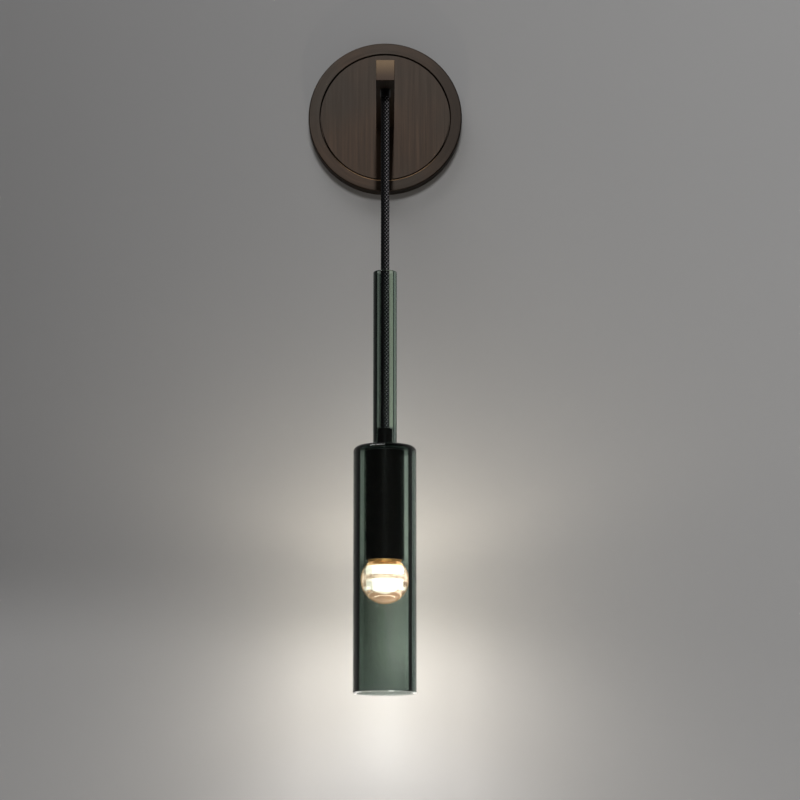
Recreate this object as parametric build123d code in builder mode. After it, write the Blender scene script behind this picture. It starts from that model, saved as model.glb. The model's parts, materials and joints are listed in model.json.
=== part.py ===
from build123d import *
import os
from math import sqrt

# Tube wall light: a round metal rose on the wall, a square arm that stands out of it, a textile
# flex that hangs from the arm, and a blown glass tube round a slim lamp holder with a ball lamp.
# Millimetres. +Z is up, the wall is the plane Y = 0 and the room lies towards -Y. The origin is
# on the wall, at the centre of the rose and of the wall bracket's two slots.

os.makedirs("parts", exist_ok=True)

# ---------------------------------------------------------------- driving dimensions
# clearances
fit_gap = 0.05            # round a piece that sits in another one
seat_gap = 0.3            # between pieces that only stand close to each other

# wall rose
rose_radius = 65.0
rose_depth = 12.0         # its face stands this far off the wall
skirt_wall = 2.0
rim_round = 1.0
bezel_width = 10.0
bezel_thick = 3.0
bezel_edge = 0.8          # chamfer round the bezel's inner edge
groove_width = 0.8        # the dark line between bezel and inner plate
lap_reach = 5.0           # the inner plate reaches this far behind the bezel
lap_thick = 1.4
lap_width = 12.0
plate_screw_count = 6
plate_screw_radius = 1.0
plate_screw_grip = 2.0

# wall bracket
strap_thick = 2.0
strap_width = 28.0
strap_bend = 0.8          # inside radius of the bent ears
ear_width = 16.0
ear_step = 4.2            # the strap narrows to the ears this far from its ends
slot_spacing = 60.0
slot_length = 16.0
slot_width = 4.5
cable_hole_radius = 8.0
grub_radius = 1.5
grub_off_wall = 4.7
earth_from_ear = 14.2     # from the ear's outside to the earth screw
earth_screw_radius = 2.0

# arm
arm_width = 15.0
arm_height = 17.0
arm_wall = 1.5
arm_corner = 0.5
arm_reach = 136.0         # from the rose's face to the arm's tip
end_cap_thick = 2.0
end_cap_plug = 6.0
flange_width = 44.0
flange_height = 34.0
flange_thick = 2.6
stud_spacing_x = 32.0
stud_spacing_z = 22.0
stud_radius = 1.5
stud_length = 5.8
flange_washer_thick = 0.5
flange_nut_flats = 5.5
flange_nut_height = 2.2

# flex and its exit from the arm
flex_radius = 3.5
arm_past_flex = 26.5      # the arm reaches this far past the flex's axis
flex_drop = 272.0         # free length, from the bush's mouth to the cord grip
core_radius = 1.0
core_spacing = 2.2
bush_radius = 4.1
bush_show = 6.5           # the bush shows this much under the arm
bush_flange_radius = 5.5
bush_flange_thick = 1.5
bend_clear = 0.1          # round the flex where it bends
bend_drop = 1.0           # first bend, under the bush's mouth
bend_spacing = 8.0        # second bend, under the first
bend_lip = 1.3
stop_radius = 5.25
stop_height = 5.0
stop_screw_radius = 1.25

# cord grip and lamp holder
grip_radius = 6.0
grip_length = 18.0
grip_thread = 10.0        # length of the nipple's thread inside the grip
grip_screw_radius = 1.5
grip_screw_drop = 4.0
nipple_radius = 5.0
nipple_show = 10.0        # the nipple reaches this far below the holder's top
holder_radius = 15.25
holder_length = 87.0
sleeve_wall = 1.5
cap_thick = 4.0
cap_plug = 6.0
cap_plug_wall = 1.6
sleeve_screw_radius = 1.25

# socket and its bracket inside the holder
web_radius = 11.3
web_thick = 1.2
leg_width = 7.0
leg_length = 22.2
leg_out = 11.2
tab_length = 7.2
toothed_thick = 0.6
toothed_radius = 7.5
nipple_nut_flats = 14.0
nipple_nut_height = 3.0
socket_radius = 11.0
socket_height = 20.0
socket_screw_radius = 1.25
socket_screw_place = 7.0
socket_screw_length = 8.0
pin_spacing = 9.0
pin_radius = 1.0
contact_leaf = 0.4
contact_depth = 5.0
contact_length = 11.0
cavity_length = 12.0
earth_tag_thick = 0.6

# glass shade
washer_thick = 1.0
neck_radius = 9.5
neck_bore = 7.0
neck_length = 141.5
neck_foot = 2.0
body_radius = 25.0
body_wall = 3.0
body_length = 195.0
shoulder_thick = 3.0
shoulder_round = 4.5
shoulder_round_inside = 2.5
glass_rim = 1.1

# lamp
lamp_base_radius = 9.0
lamp_base_height = 8.0
lamp_base_drop = 0.4      # air between the socket and the lamp
pin_show = 8.1
pin_sunk = 4.5
housing_radius = 12.9
housing_taper = 7.0
housing_wall = 1.5
collar_radius = 13.0
collar_height = 7.8
collar_bore = 9.0
led_board_radius = 10.3
led_board_thick = 1.6
led_chip_count = 6
led_chip_side = 2.8
led_chip_circle = 5.0
ball_radius = 18.9
ball_drop = 15.2          # its centre, under the holder's mouth
ball_bore = 10.0
ball_floor = 7.6          # solid glass under the lit core
core_wall = 1.2

# ---------------------------------------------------------------- places worked out from them
skirt_inside = rose_radius - skirt_wall
opening_radius = rose_radius - bezel_width
plate_radius = opening_radius - groove_width
lap_radius = opening_radius + lap_reach
plate_back = rose_depth - bezel_thick
lap_back = plate_back - lap_thick
plate_screw_circle = (opening_radius + lap_radius) / 2
ear_outside = sqrt(skirt_inside**2 - (ear_width / 2) ** 2) - seat_gap
ear_reach = lap_back - 2 * seat_gap
earth_off_centre = ear_outside - earth_from_ear
flange_back = plate_back - flange_thick

arm_under = -arm_height / 2
arm_floor = arm_under + arm_wall
arm_tip = rose_depth + arm_reach
flex_y = -(arm_tip - arm_past_flex)
bush_mouth = arm_under - bush_show
bush_bore = flex_radius + bend_clear
bush_top = arm_floor + bush_flange_thick
stop_top = bush_top + stop_height
bend_a = bush_mouth - bend_drop
bend_b = bend_a - bend_spacing

grip_top = bush_mouth - flex_drop
holder_top = grip_top - grip_length
nipple_end = holder_top - nipple_show
cap_under = holder_top - cap_thick
cap_plug_end = cap_under - cap_plug
sleeve_inside = holder_radius - sleeve_wall
cap_plug_radius = sleeve_inside - fit_gap
sleeve_screw_z = (cap_under + cap_plug_end) / 2
holder_mouth = holder_top - holder_length
web_under = cap_under - web_thick
washer_under = web_under - toothed_thick
tab_top = cap_under - leg_length + web_thick
socket_top = tab_top - web_thick
socket_bottom = socket_top - socket_height
cavity_top = socket_bottom + cavity_length
flex_end_z = nipple_end - 1.0

shoulder_inside = holder_top + washer_thick
shoulder_top = shoulder_inside + shoulder_thick
neck_top = shoulder_top + neck_length
body_inside = body_radius - body_wall
body_bottom = shoulder_top - body_length

lamp_top = socket_bottom - lamp_base_drop
housing_top = lamp_top - lamp_base_height
ball_z = holder_mouth - ball_drop
ball_flat_z = ball_z + sqrt(ball_radius**2 - collar_radius**2)
collar_top = ball_flat_z + collar_height
board_under = ball_flat_z + fit_gap
board_top = board_under + led_board_thick
ball_bore_floor = ball_z - ball_radius + ball_floor
core_bottom = ball_bore_floor + seat_gap
core_radius_outside = ball_bore - seat_gap

# planes and axes of the hanging pieces
flex_axis = Axis((0, flex_y, 0), (0, 0, 1))
flex_side = Plane(origin=(0, flex_y, 0), x_dir=(1, 0, 0), z_dir=(0, -1, 0))


def level(z):
    """Horizontal plane at height z, centred on the flex."""
    return Plane(origin=(0, flex_y, z), x_dir=(1, 0, 0), z_dir=(0, 0, 1))


def off_wall(depth):
    """Plane parallel to the wall, this far off it and facing the room."""
    return Plane.XZ.offset(depth)


def radial(z, direction):
    """Plane on the flex's axis at height z, facing along a horizontal direction."""
    return Plane(origin=(0, flex_y, z), x_dir=(0, 0, 1), z_dir=direction)


def headed_screw(radius, length, head_radius, head_height, slot=0.8):
    """Slotted screw: its head's seat is at z = 0, its shank runs up and its head hangs below."""
    with BuildPart() as screw:
        with BuildSketch():
            Circle(radius)
        extrude(amount=length)
        with BuildSketch():
            Circle(head_radius)
        extrude(amount=-head_height)
        with BuildSketch(Plane.XY.offset(-head_height)):
            Rectangle(2 * head_radius, slot)
        extrude(amount=head_height / 2, mode=Mode.SUBTRACT)
    return screw.part


def set_screw(radius, length):
    """Headless screw along z, from z = 0 to its length, with a hexagon socket in its outer end."""
    with BuildPart() as screw:
        with BuildSketch():
            Circle(radius)
        extrude(amount=length)
        with BuildSketch(Plane.XY.offset(length)):
            RegularPolygon(radius / 2, 6)
        extrude(amount=-length / 2, mode=Mode.SUBTRACT)
    return screw.part


def insulated_core(points, radii):
    """One insulated core of the flex along straight runs and tangent arcs."""
    with BuildPart() as core:
        with BuildLine() as route:
            FilletPolyline(*points, radius=radii)
        with BuildSketch(Plane(origin=route.line @ 0, z_dir=route.line % 0)):
            Circle(core_radius)
        sweep()
    return core.part


# ---------------------------------------------------------------- wall bracket and earth
# steel strap with an ear bent up at each end, screwed to the wall through two slots
with BuildPart() as wall_bracket:
    with BuildSketch(Plane.XY) as strap:
        with BuildLine():
            Polyline(
                (-ear_outside, -ear_reach), (-ear_outside, 0), (ear_outside, 0),
                (ear_outside, -ear_reach), (ear_outside - strap_thick, -ear_reach),
                (ear_outside - strap_thick, -strap_thick), (strap_thick - ear_outside, -strap_thick),
                (strap_thick - ear_outside, -ear_reach), close=True,
            )
        make_face()
        fillet(strap.vertices().group_by(Axis.Y)[-1], radius=strap_bend + strap_thick)
        fillet(strap.vertices().filter_by_position(Axis.Y, -strap_thick, -strap_thick), radius=strap_bend)
    extrude(amount=strap_width / 2, both=True)
    with BuildSketch(Plane.XZ):
        with GridLocations(2 * ear_outside, strap_width, 2, 2):
            Rectangle(2 * ear_step, strap_width - ear_width)
    extrude(amount=ear_reach, mode=Mode.SUBTRACT)
    with BuildSketch(Plane.XZ):
        with GridLocations(slot_spacing, 1, 2, 1):
            SlotOverall(slot_length, slot_width)
        Circle(cable_hole_radius)
        with Locations((earth_off_centre, 0)):
            Circle(earth_screw_radius + fit_gap)
    extrude(amount=strap_thick, mode=Mode.SUBTRACT)
    with BuildSketch(Plane.YZ):
        with Locations((-grub_off_wall, 0)):
            Circle(grub_radius + fit_gap)
    extrude(amount=ear_outside, both=True, mode=Mode.SUBTRACT)
wall_bracket.part.label = "wall_bracket"
export_step(wall_bracket.part, "parts/wall_bracket.step")

# ring terminal on the strap, with its barrel pointing at the connectors
tag_thick = 0.8
barrel_radius = 1.6
barrel_length = 5.0
tag_ring_radius = 4.0
earth_tag_plane = Plane(origin=(earth_off_centre, -strap_thick, 0), x_dir=(-0.6, 0, 0.8), z_dir=(0, -1, 0))
barrel_start = tag_ring_radius + 0.6
with BuildPart() as earth_tag:
    with BuildSketch(earth_tag_plane):
        Circle(tag_ring_radius)
        with Locations((barrel_start / 2 + 1, 0)):
            Rectangle(barrel_start + 2, 2 * barrel_radius)
        Circle(earth_screw_radius + fit_gap, mode=Mode.SUBTRACT)
    extrude(amount=tag_thick)
    with BuildSketch(
        Plane(
            origin=earth_tag_plane.from_local_coords((barrel_start, 0, barrel_radius)),
            x_dir=(0, -1, 0), z_dir=earth_tag_plane.x_dir,
        )
    ):
        Circle(barrel_radius)
    extrude(amount=barrel_length)
    with BuildSketch(
        Plane(
            origin=earth_tag_plane.from_local_coords((barrel_start, 0, barrel_radius)),
            x_dir=(0, -1, 0), z_dir=earth_tag_plane.x_dir,
        )
    ):
        Circle(core_radius + fit_gap)
    extrude(amount=barrel_length, mode=Mode.SUBTRACT)
earth_tag.part.label = "earth_tag"
export_step(earth_tag.part, "parts/earth_tag.step")

earth_screw_seat = -(strap_thick + tag_thick)
with BuildPart(Plane(origin=(earth_off_centre, earth_screw_seat, 0), z_dir=(0, 1, 0))) as earth_screw:
    add(headed_screw(earth_screw_radius, tag_thick + strap_thick - 0.2, 3.6, 2.4))
earth_screw.part.label = "earth_screw"
export_step(earth_screw.part, "parts/earth_screw.step")

# ---------------------------------------------------------------- rose
# dished cover: a skirt that meets the wall, and the bezel ring that the photo shows
with BuildPart() as rose_cover:
    with BuildSketch(Plane.XY) as cover_section:
        with BuildLine():
            Polyline(
                (skirt_inside, 0), (rose_radius, 0), (rose_radius, -rose_depth),
                (opening_radius, -rose_depth), (opening_radius, -plate_back),
                (skirt_inside, -plate_back), close=True,
            )
        make_face()
        outer_corner = cover_section.vertices().sort_by_distance((rose_radius, -rose_depth))[0]
        fillet(outer_corner, radius=rim_round)
        inner_corner = cover_section.vertices().sort_by_distance((opening_radius, -rose_depth))[0]
        chamfer(inner_corner, length=bezel_edge)
    revolve(axis=Axis.Y)
    with BuildSketch(Plane.YZ):
        with Locations((-grub_off_wall, 0)):
            Circle(grub_radius + fit_gap)
    extrude(amount=rose_radius, both=True, mode=Mode.SUBTRACT)
    with BuildSketch(off_wall(plate_back)):
        with PolarLocations(plate_screw_circle, plate_screw_count, 30):
            Circle(plate_screw_radius + fit_gap)
    extrude(amount=plate_screw_grip + seat_gap, mode=Mode.SUBTRACT)
rose_cover.part.label = "rose_cover"
export_step(rose_cover.part, "parts/rose_cover.step")

# one set screw on each side holds the cover to the bracket's ears
grub_end = ear_outside - strap_thick - 0.4
grub_length = rose_radius - 0.4 - grub_end
with BuildPart() as rose_grub_screws:
    for side in (-1, 1):
        with Locations(Plane(origin=(side * grub_end, -grub_off_wall, 0), z_dir=(side, 0, 0))):
            add(set_screw(grub_radius, grub_length))
rose_grub_screws.part.label = "rose_grub_screws"
export_step(rose_grub_screws.part, "parts/rose_grub_screws.step")

# inner plate: flush with the bezel, lapped behind it, with four welded studs for the arm
with BuildPart() as rose_inner_plate:
    with BuildSketch(Plane.XY):
        with BuildLine():
            Polyline(
                (0, -rose_depth), (plate_radius, -rose_depth), (plate_radius, -plate_back),
                (lap_radius, -plate_back), (lap_radius, -lap_back), (lap_radius - lap_width, -lap_back),
                (lap_radius - lap_width, -plate_back), (0, -plate_back), close=True,
            )
        make_face()
    revolve(axis=Axis.Y)
    with BuildSketch(off_wall(plate_back)):
        with GridLocations(stud_spacing_x, stud_spacing_z, 2, 2):
            Circle(stud_radius)
    extrude(amount=-stud_length)
    with BuildSketch(off_wall(plate_back)):
        Rectangle(arm_width + 2 * fit_gap, arm_height + 2 * fit_gap)
    extrude(amount=bezel_thick, mode=Mode.SUBTRACT)
    with BuildSketch(off_wall(lap_back)):
        with PolarLocations(plate_screw_circle, plate_screw_count, 30):
            Circle(plate_screw_radius + 3 * fit_gap)
    extrude(amount=lap_thick, mode=Mode.SUBTRACT)
rose_inner_plate.part.label = "rose_inner_plate"
export_step(rose_inner_plate.part, "parts/rose_inner_plate.step")

with BuildPart(off_wall(lap_back)) as plate_screws:
    with PolarLocations(plate_screw_circle, plate_screw_count, 30):
        add(headed_screw(plate_screw_radius, lap_thick + plate_screw_grip, 1.9, 1.2, 0.5))
plate_screws.part.label = "plate_screws"
export_step(plate_screws.part, "parts/plate_screws.step")

# ---------------------------------------------------------------- arm
# root flange, brazed round the tube and bolted to the studs
with BuildPart() as arm_flange:
    with BuildSketch(off_wall(flange_back)):
        RectangleRounded(flange_width, flange_height, 3)
        Rectangle(arm_width + 2 * fit_gap, arm_height + 2 * fit_gap, mode=Mode.SUBTRACT)
        with GridLocations(stud_spacing_x, stud_spacing_z, 2, 2):
            Circle(stud_radius + 3 * fit_gap, mode=Mode.SUBTRACT)
    extrude(amount=flange_thick)
arm_flange.part.label = "arm_flange"
export_step(arm_flange.part, "parts/arm_flange.step")

with BuildPart() as flange_washers:
    with BuildSketch(off_wall(flange_back)):
        with GridLocations(stud_spacing_x, stud_spacing_z, 2, 2):
            Circle(flange_nut_flats / 2 + 0.4)
            Circle(stud_radius + 2 * fit_gap, mode=Mode.SUBTRACT)
    extrude(amount=-flange_washer_thick)
flange_washers.part.label = "flange_washers"
export_step(flange_washers.part, "parts/flange_washers.step")

with BuildPart() as flange_nuts:
    with BuildSketch(off_wall(flange_back - flange_washer_thick)):
        with GridLocations(stud_spacing_x, stud_spacing_z, 2, 2):
            RegularPolygon(flange_nut_flats / 2, 6, major_radius=False)
            Circle(stud_radius + fit_gap, mode=Mode.SUBTRACT)
    extrude(amount=-flange_nut_height)
flange_nuts.part.label = "flange_nuts"
export_step(flange_nuts.part, "parts/flange_nuts.step")

with BuildPart() as arm_tube:
    with BuildSketch(off_wall(flange_back)):
        RectangleRounded(arm_width, arm_height, arm_corner)
        Rectangle(arm_width - 2 * arm_wall, arm_height - 2 * arm_wall, mode=Mode.SUBTRACT)
    extrude(amount=arm_tip - end_cap_thick - flange_back)
    with BuildSketch(level(arm_under)):
        Circle(bush_radius + fit_gap)
    extrude(amount=arm_wall, mode=Mode.SUBTRACT)
arm_tube.part.label = "arm_tube"
export_step(arm_tube.part, "parts/arm_tube.step")

with BuildPart() as arm_end_cap:
    with BuildSketch(off_wall(arm_tip)):
        RectangleRounded(arm_width, arm_height, arm_corner)
    extrude(amount=-end_cap_thick)
    fillet(arm_end_cap.faces().sort_by(Axis.Y)[0].edges(), radius=0.3)
    with BuildSketch(off_wall(arm_tip - end_cap_thick)):
        Rectangle(arm_width - 2 * arm_wall - 4 * fit_gap, arm_height - 2 * arm_wall - 4 * fit_gap)
    extrude(amount=-end_cap_plug)
arm_end_cap.part.label = "arm_end_cap"
export_step(arm_end_cap.part, "parts/arm_end_cap.step")

# ---------------------------------------------------------------- flex exit
# bush dropped through the arm's underside from inside, so that its flange carries the load
with BuildPart() as cord_exit_bush:
    with BuildSketch(flex_side) as bush_section:
        with BuildLine():
            Polyline(
                (bush_bore, bush_mouth), (bush_radius, bush_mouth), (bush_radius, arm_floor),
                (bush_flange_radius, arm_floor), (bush_flange_radius, bush_top),
                (bush_bore, bush_top), close=True,
            )
        make_face()
        fillet(bush_section.vertices().group_by(Axis.Y)[0], radius=0.2)
    revolve(axis=flex_axis)
cord_exit_bush.part.label = "cord_exit_bush"
export_step(cord_exit_bush.part, "parts/cord_exit_bush.step")

# collar clamped on the flex inside the arm: it rests on the bush and carries the pendant
stop_screw_z = (bush_top + stop_top) / 2
with BuildPart() as cord_stop_collar:
    with BuildSketch(level(bush_top)):
        Circle(stop_radius)
        Circle(flex_radius + fit_gap, mode=Mode.SUBTRACT)
    extrude(amount=stop_height)
    with BuildSketch(radial(stop_screw_z, (0, -1, 0))):
        Circle(stop_screw_radius + fit_gap)
    extrude(amount=stop_radius, mode=Mode.SUBTRACT)
cord_stop_collar.part.label = "cord_stop_collar"
export_step(cord_stop_collar.part, "parts/cord_stop_collar.step")

stop_screw_start = flex_radius + 2 * fit_gap
with BuildPart(radial(stop_screw_z, (0, -1, 0))) as cord_stop_screw:
    with Locations((0, 0, stop_screw_start)):
        add(set_screw(stop_screw_radius, stop_radius - stop_screw_start - 2 * fit_gap))
cord_stop_screw.part.label = "cord_stop_screw"
export_step(cord_stop_screw.part, "parts/cord_stop_screw.step")

tail_bottom = bend_a + flex_radius + seat_gap
tail_top = stop_top + 0.8
with BuildPart() as flex_tail:
    with BuildSketch(level(tail_bottom)):
        Circle(flex_radius)
    extrude(amount=tail_top - tail_bottom)
flex_tail.part.label = "flex_tail"
export_step(flex_tail.part, "parts/flex_tail.step")

# ---------------------------------------------------------------- cores and connectors in the rose
connector_width = 8.0
connector_height = 18.0
connector_thick = 6.5
connector_pitch = 9.0
connector_low = 24.0
connector_off_wall = 4.3
port_offset = 2.0
port_depth = 8.0
with BuildPart() as wire_connectors:
    with BuildSketch(off_wall(connector_off_wall - connector_thick / 2)):
        with Locations((0, connector_low + connector_height / 2)):
            with GridLocations(connector_pitch, 1, 3, 1):
                RectangleRounded(connector_width, connector_height, 1)
    extrude(amount=connector_thick)
    with BuildSketch(Plane(origin=(0, -connector_off_wall, connector_low), x_dir=(1, 0, 0), z_dir=(0, 0, 1))):
        with GridLocations(connector_pitch, 1, 3, 1):
            with GridLocations(2 * port_offset, 1, 2, 1):
                Circle(core_radius + 2 * fit_gap)
    extrude(amount=port_depth, mode=Mode.SUBTRACT)
wire_connectors.part.label = "wire_connectors"
export_step(wire_connectors.part, "parts/wire_connectors.step")

arm_run_z = 4.2
port_end = connector_low + port_depth - seat_gap


def arm_lead(place):
    """Core from the clamped flex, back through the arm, to its own connector. Place is -1, 0 or 1."""
    start_x = place * core_spacing
    port_x = place * connector_pitch - port_offset
    return insulated_core(
        [
            (start_x, flex_y, tail_top), (start_x, flex_y, arm_run_z),
            (start_x, -connector_off_wall, arm_run_z), (start_x, -connector_off_wall, 12),
            (port_x, -connector_off_wall, 20), (port_x, -connector_off_wall, port_end),
        ],
        [3.0, 2.6, 5.0, 5.0],
    )


with BuildPart() as arm_lead_live:
    add(arm_lead(-1))
arm_lead_live.part.label = "arm_lead_live"
export_step(arm_lead_live.part, "parts/arm_lead_live.step")

with BuildPart() as arm_lead_neutral:
    add(arm_lead(0))
arm_lead_neutral.part.label = "arm_lead_neutral"
export_step(arm_lead_neutral.part, "parts/arm_lead_neutral.step")

with BuildPart() as arm_lead_earth:
    add(arm_lead(1))
arm_lead_earth.part.label = "arm_lead_earth"
export_step(arm_lead_earth.part, "parts/arm_lead_earth.step")

# green link from the earth connector's second port down to the ring terminal
link_port_x = connector_pitch + port_offset
barrel_inner = earth_tag_plane.from_local_coords((barrel_start + 0.5, 0, barrel_radius))
barrel_outer = earth_tag_plane.from_local_coords((barrel_start + barrel_length + 6, 0, barrel_radius))
with BuildPart() as earth_link:
    add(
        insulated_core(
            [
                (link_port_x, -connector_off_wall, port_end), (link_port_x, -connector_off_wall, 20),
                (barrel_outer.X - 8, -connector_off_wall, 17), barrel_outer, barrel_inner,
            ],
            [3.0, 5.0, 3.0],
        )
    )
earth_link.part.label = "earth_link"
export_step(earth_link.part, "parts/earth_link.step")

# ---------------------------------------------------------------- the free flex
# It bends just under the bush. Two ball-shaped bends a flex width apart stand for that bend:
# the first lets it swing away from the wall and back, the second from side to side.
lip_z = bend_b + bend_lip
bend_seat = flex_radius + bend_clear
lip_radius = sqrt(bend_seat**2 - bend_lip**2)
with BuildPart() as flex_top:
    with BuildSketch(flex_side):
        with BuildLine():
            Line((0, bend_b + bend_seat), (0, bend_a + flex_radius))
            RadiusArc((0, bend_a + flex_radius), (flex_radius, bend_a), flex_radius)
            Polyline((flex_radius, bend_a), (flex_radius, lip_z), (lip_radius, lip_z))
            RadiusArc((lip_radius, lip_z), (0, bend_b + bend_seat), -bend_seat)
        make_face()
    revolve(axis=flex_axis)
flex_top.part.label = "flex_top"
export_step(flex_top.part, "parts/flex_top.step")

with BuildPart() as flex:
    with BuildSketch(flex_side):
        with BuildLine():
            Line((0, grip_top), (0, bend_b + flex_radius))
            RadiusArc((0, bend_b + flex_radius), (flex_radius, bend_b), flex_radius)
            Polyline((flex_radius, bend_b), (flex_radius, grip_top), (0, grip_top))
        make_face()
    revolve(axis=flex_axis)
flex.part.label = "flex"
export_step(flex.part, "parts/flex.step")

with BuildPart() as flex_end:
    with BuildSketch(level(grip_top)):
        Circle(flex_radius)
    extrude(amount=flex_end_z - grip_top)
flex_end.part.label = "flex_end"
export_step(flex_end.part, "parts/flex_end.step")

# ---------------------------------------------------------------- cord grip
grip_step = holder_top + grip_thread
grip_screw_z = grip_top - grip_screw_drop
with BuildPart() as cord_grip:
    with BuildSketch(flex_side) as grip_section:
        with BuildLine():
            Polyline(
                (flex_radius + fit_gap, grip_top), (grip_radius, grip_top), (grip_radius, holder_top),
                (nipple_radius + fit_gap, holder_top), (nipple_radius + fit_gap, grip_step),
                (flex_radius + fit_gap, grip_step), close=True,
            )
        make_face()
        fillet(grip_section.vertices().sort_by_distance((grip_radius, grip_top))[0], radius=0.6)
    revolve(axis=flex_axis)
    with BuildSketch(radial(grip_screw_z, (0, 1, 0))):
        Circle(grip_screw_radius + fit_gap)
    extrude(amount=grip_radius, mode=Mode.SUBTRACT)
cord_grip.part.label = "cord_grip"
export_step(cord_grip.part, "parts/cord_grip.step")

grip_screw_start = flex_radius + 2 * fit_gap
with BuildPart(radial(grip_screw_z, (0, 1, 0))) as grip_screw:
    with Locations((0, 0, grip_screw_start)):
        add(set_screw(grip_screw_radius, grip_radius - grip_screw_start - 2 * fit_gap))
grip_screw.part.label = "grip_screw"
export_step(grip_screw.part, "parts/grip_screw.step")

with BuildPart() as hollow_nipple:
    with BuildSketch(level(grip_step - 4 * fit_gap)):
        Circle(nipple_radius)
        Circle(flex_radius + 2 * fit_gap, mode=Mode.SUBTRACT)
    extrude(amount=nipple_end - grip_step + 4 * fit_gap)
hollow_nipple.part.label = "hollow_nipple"
export_step(hollow_nipple.part, "parts/hollow_nipple.step")

# ---------------------------------------------------------------- lamp holder
with BuildPart() as holder_cap:
    with BuildSketch(flex_side) as cap_section:
        with BuildLine():
            Polyline(
                (nipple_radius + fit_gap, holder_top), (holder_radius, holder_top),
                (holder_radius, cap_under), (cap_plug_radius, cap_under), (cap_plug_radius, cap_plug_end),
                (cap_plug_radius - cap_plug_wall, cap_plug_end), (cap_plug_radius - cap_plug_wall, cap_under),
                (nipple_radius + fit_gap, cap_under), close=True,
            )
        make_face()
        fillet(cap_section.vertices().sort_by_distance((holder_radius, holder_top))[0], radius=0.8)
    revolve(axis=flex_axis)
    with BuildSketch(radial(sleeve_screw_z, (1, 0, 0))):
        Circle(sleeve_screw_radius + fit_gap)
    extrude(amount=cap_plug_radius, both=True, mode=Mode.SUBTRACT)
holder_cap.part.label = "holder_cap"
export_step(holder_cap.part, "parts/holder_cap.step")

with BuildPart() as holder_sleeve:
    with BuildSketch(level(cap_under)):
        Circle(holder_radius)
        Circle(sleeve_inside, mode=Mode.SUBTRACT)
    extrude(amount=holder_mouth - cap_under)
    fillet(holder_sleeve.edges().group_by(Axis.Z)[0], radius=0.4)
    with BuildSketch(radial(sleeve_screw_z, (1, 0, 0))):
        Circle(sleeve_screw_radius + fit_gap)
    extrude(amount=holder_radius, both=True, mode=Mode.SUBTRACT)
holder_sleeve.part.label = "holder_sleeve"
export_step(holder_sleeve.part, "parts/holder_sleeve.step")

sleeve_screw_start = cap_plug_radius - cap_plug_wall + 2 * fit_gap
with BuildPart() as sleeve_screws:
    for side in (-1, 1):
        with Locations(radial(sleeve_screw_z, (side, 0, 0))):
            with Locations((0, 0, sleeve_screw_start)):
                add(set_screw(sleeve_screw_radius, holder_radius - sleeve_screw_start - 3 * fit_gap))
sleeve_screws.part.label = "sleeve_screws"
export_step(sleeve_screws.part, "parts/sleeve_screws.step")

# bent steel bracket under the cap: a round web, two legs and two tabs that carry the socket
with BuildPart() as socket_bracket:
    with BuildSketch(level(cap_under)):
        Circle(web_radius)
    extrude(amount=-web_thick)
    with BuildSketch(level(cap_under)):
        with GridLocations(0, 2 * leg_out - web_thick, 1, 2):
            Rectangle(leg_width, web_thick)
    extrude(amount=-leg_length)
    with BuildSketch(level(tab_top)):
        with GridLocations(0, 2 * leg_out - tab_length, 1, 2):
            Rectangle(leg_width, tab_length)
    extrude(amount=-web_thick)
    with BuildSketch(level(cap_under)):
        Circle(nipple_radius + fit_gap)
    extrude(amount=-web_thick, mode=Mode.SUBTRACT)
    with BuildSketch(level(tab_top)):
        with GridLocations(0, 2 * socket_screw_place, 1, 2):
            Circle(socket_screw_radius + 2 * fit_gap)
    extrude(amount=-web_thick, mode=Mode.SUBTRACT)
socket_bracket.part.label = "socket_bracket"
export_step(socket_bracket.part, "parts/socket_bracket.step")

with BuildPart() as toothed_washer:
    with BuildSketch(level(web_under)):
        Circle(toothed_radius - 1)
        with PolarLocations(toothed_radius - 1, 12):
            Rectangle(2, 1.6)
        Circle(nipple_radius + fit_gap, mode=Mode.SUBTRACT)
    extrude(amount=-toothed_thick)
toothed_washer.part.label = "toothed_washer"
export_step(toothed_washer.part, "parts/toothed_washer.step")

with BuildPart() as nipple_nut:
    with BuildSketch(level(washer_under)):
        RegularPolygon(nipple_nut_flats / 2, 6, major_radius=False)
        Circle(nipple_radius + fit_gap, mode=Mode.SUBTRACT)
    extrude(amount=-nipple_nut_height)
nipple_nut.part.label = "nipple_nut"
export_step(nipple_nut.part, "parts/nipple_nut.step")

# ---------------------------------------------------------------- socket
contact_half = pin_radius + fit_gap + contact_leaf
cavity_half = contact_half + 0.25
with BuildPart() as lamp_socket:
    with BuildSketch(level(socket_top)):
        Circle(socket_radius)
    extrude(amount=-socket_height)
    fillet(lamp_socket.edges().group_by(Axis.Z)[0], radius=0.8)
    with BuildSketch(level(socket_top)):
        with GridLocations(0, 2 * socket_screw_place, 1, 2):
            Circle(socket_screw_radius + fit_gap)
    extrude(amount=-socket_screw_length, mode=Mode.SUBTRACT)
    with BuildSketch(level(socket_top)):
        with GridLocations(pin_spacing, 1, 2, 1):
            Circle(core_radius + 2 * fit_gap)
    extrude(amount=cavity_top - socket_top, mode=Mode.SUBTRACT)
    with BuildSketch(level(socket_bottom)):
        with GridLocations(pin_spacing, 1, 2, 1):
            Rectangle(2 * cavity_half, contact_depth + 0.6)
    extrude(amount=cavity_length, mode=Mode.SUBTRACT)
lamp_socket.part.label = "lamp_socket"
export_step(lamp_socket.part, "parts/lamp_socket.step")

# the +Y screw sits on the earth tag, the other one straight on its tab
with BuildPart() as socket_screws:
    for side, seat in ((1, tab_top + earth_tag_thick), (-1, tab_top)):
        shank = seat - socket_top + socket_screw_length - 1
        with Locations(Plane(origin=(0, flex_y + side * socket_screw_place, seat), z_dir=(0, 0, -1))):
            add(headed_screw(socket_screw_radius, shank, 2.25, 1.6))
socket_screws.part.label = "socket_screws"
export_step(socket_screws.part, "parts/socket_screws.step")

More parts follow.
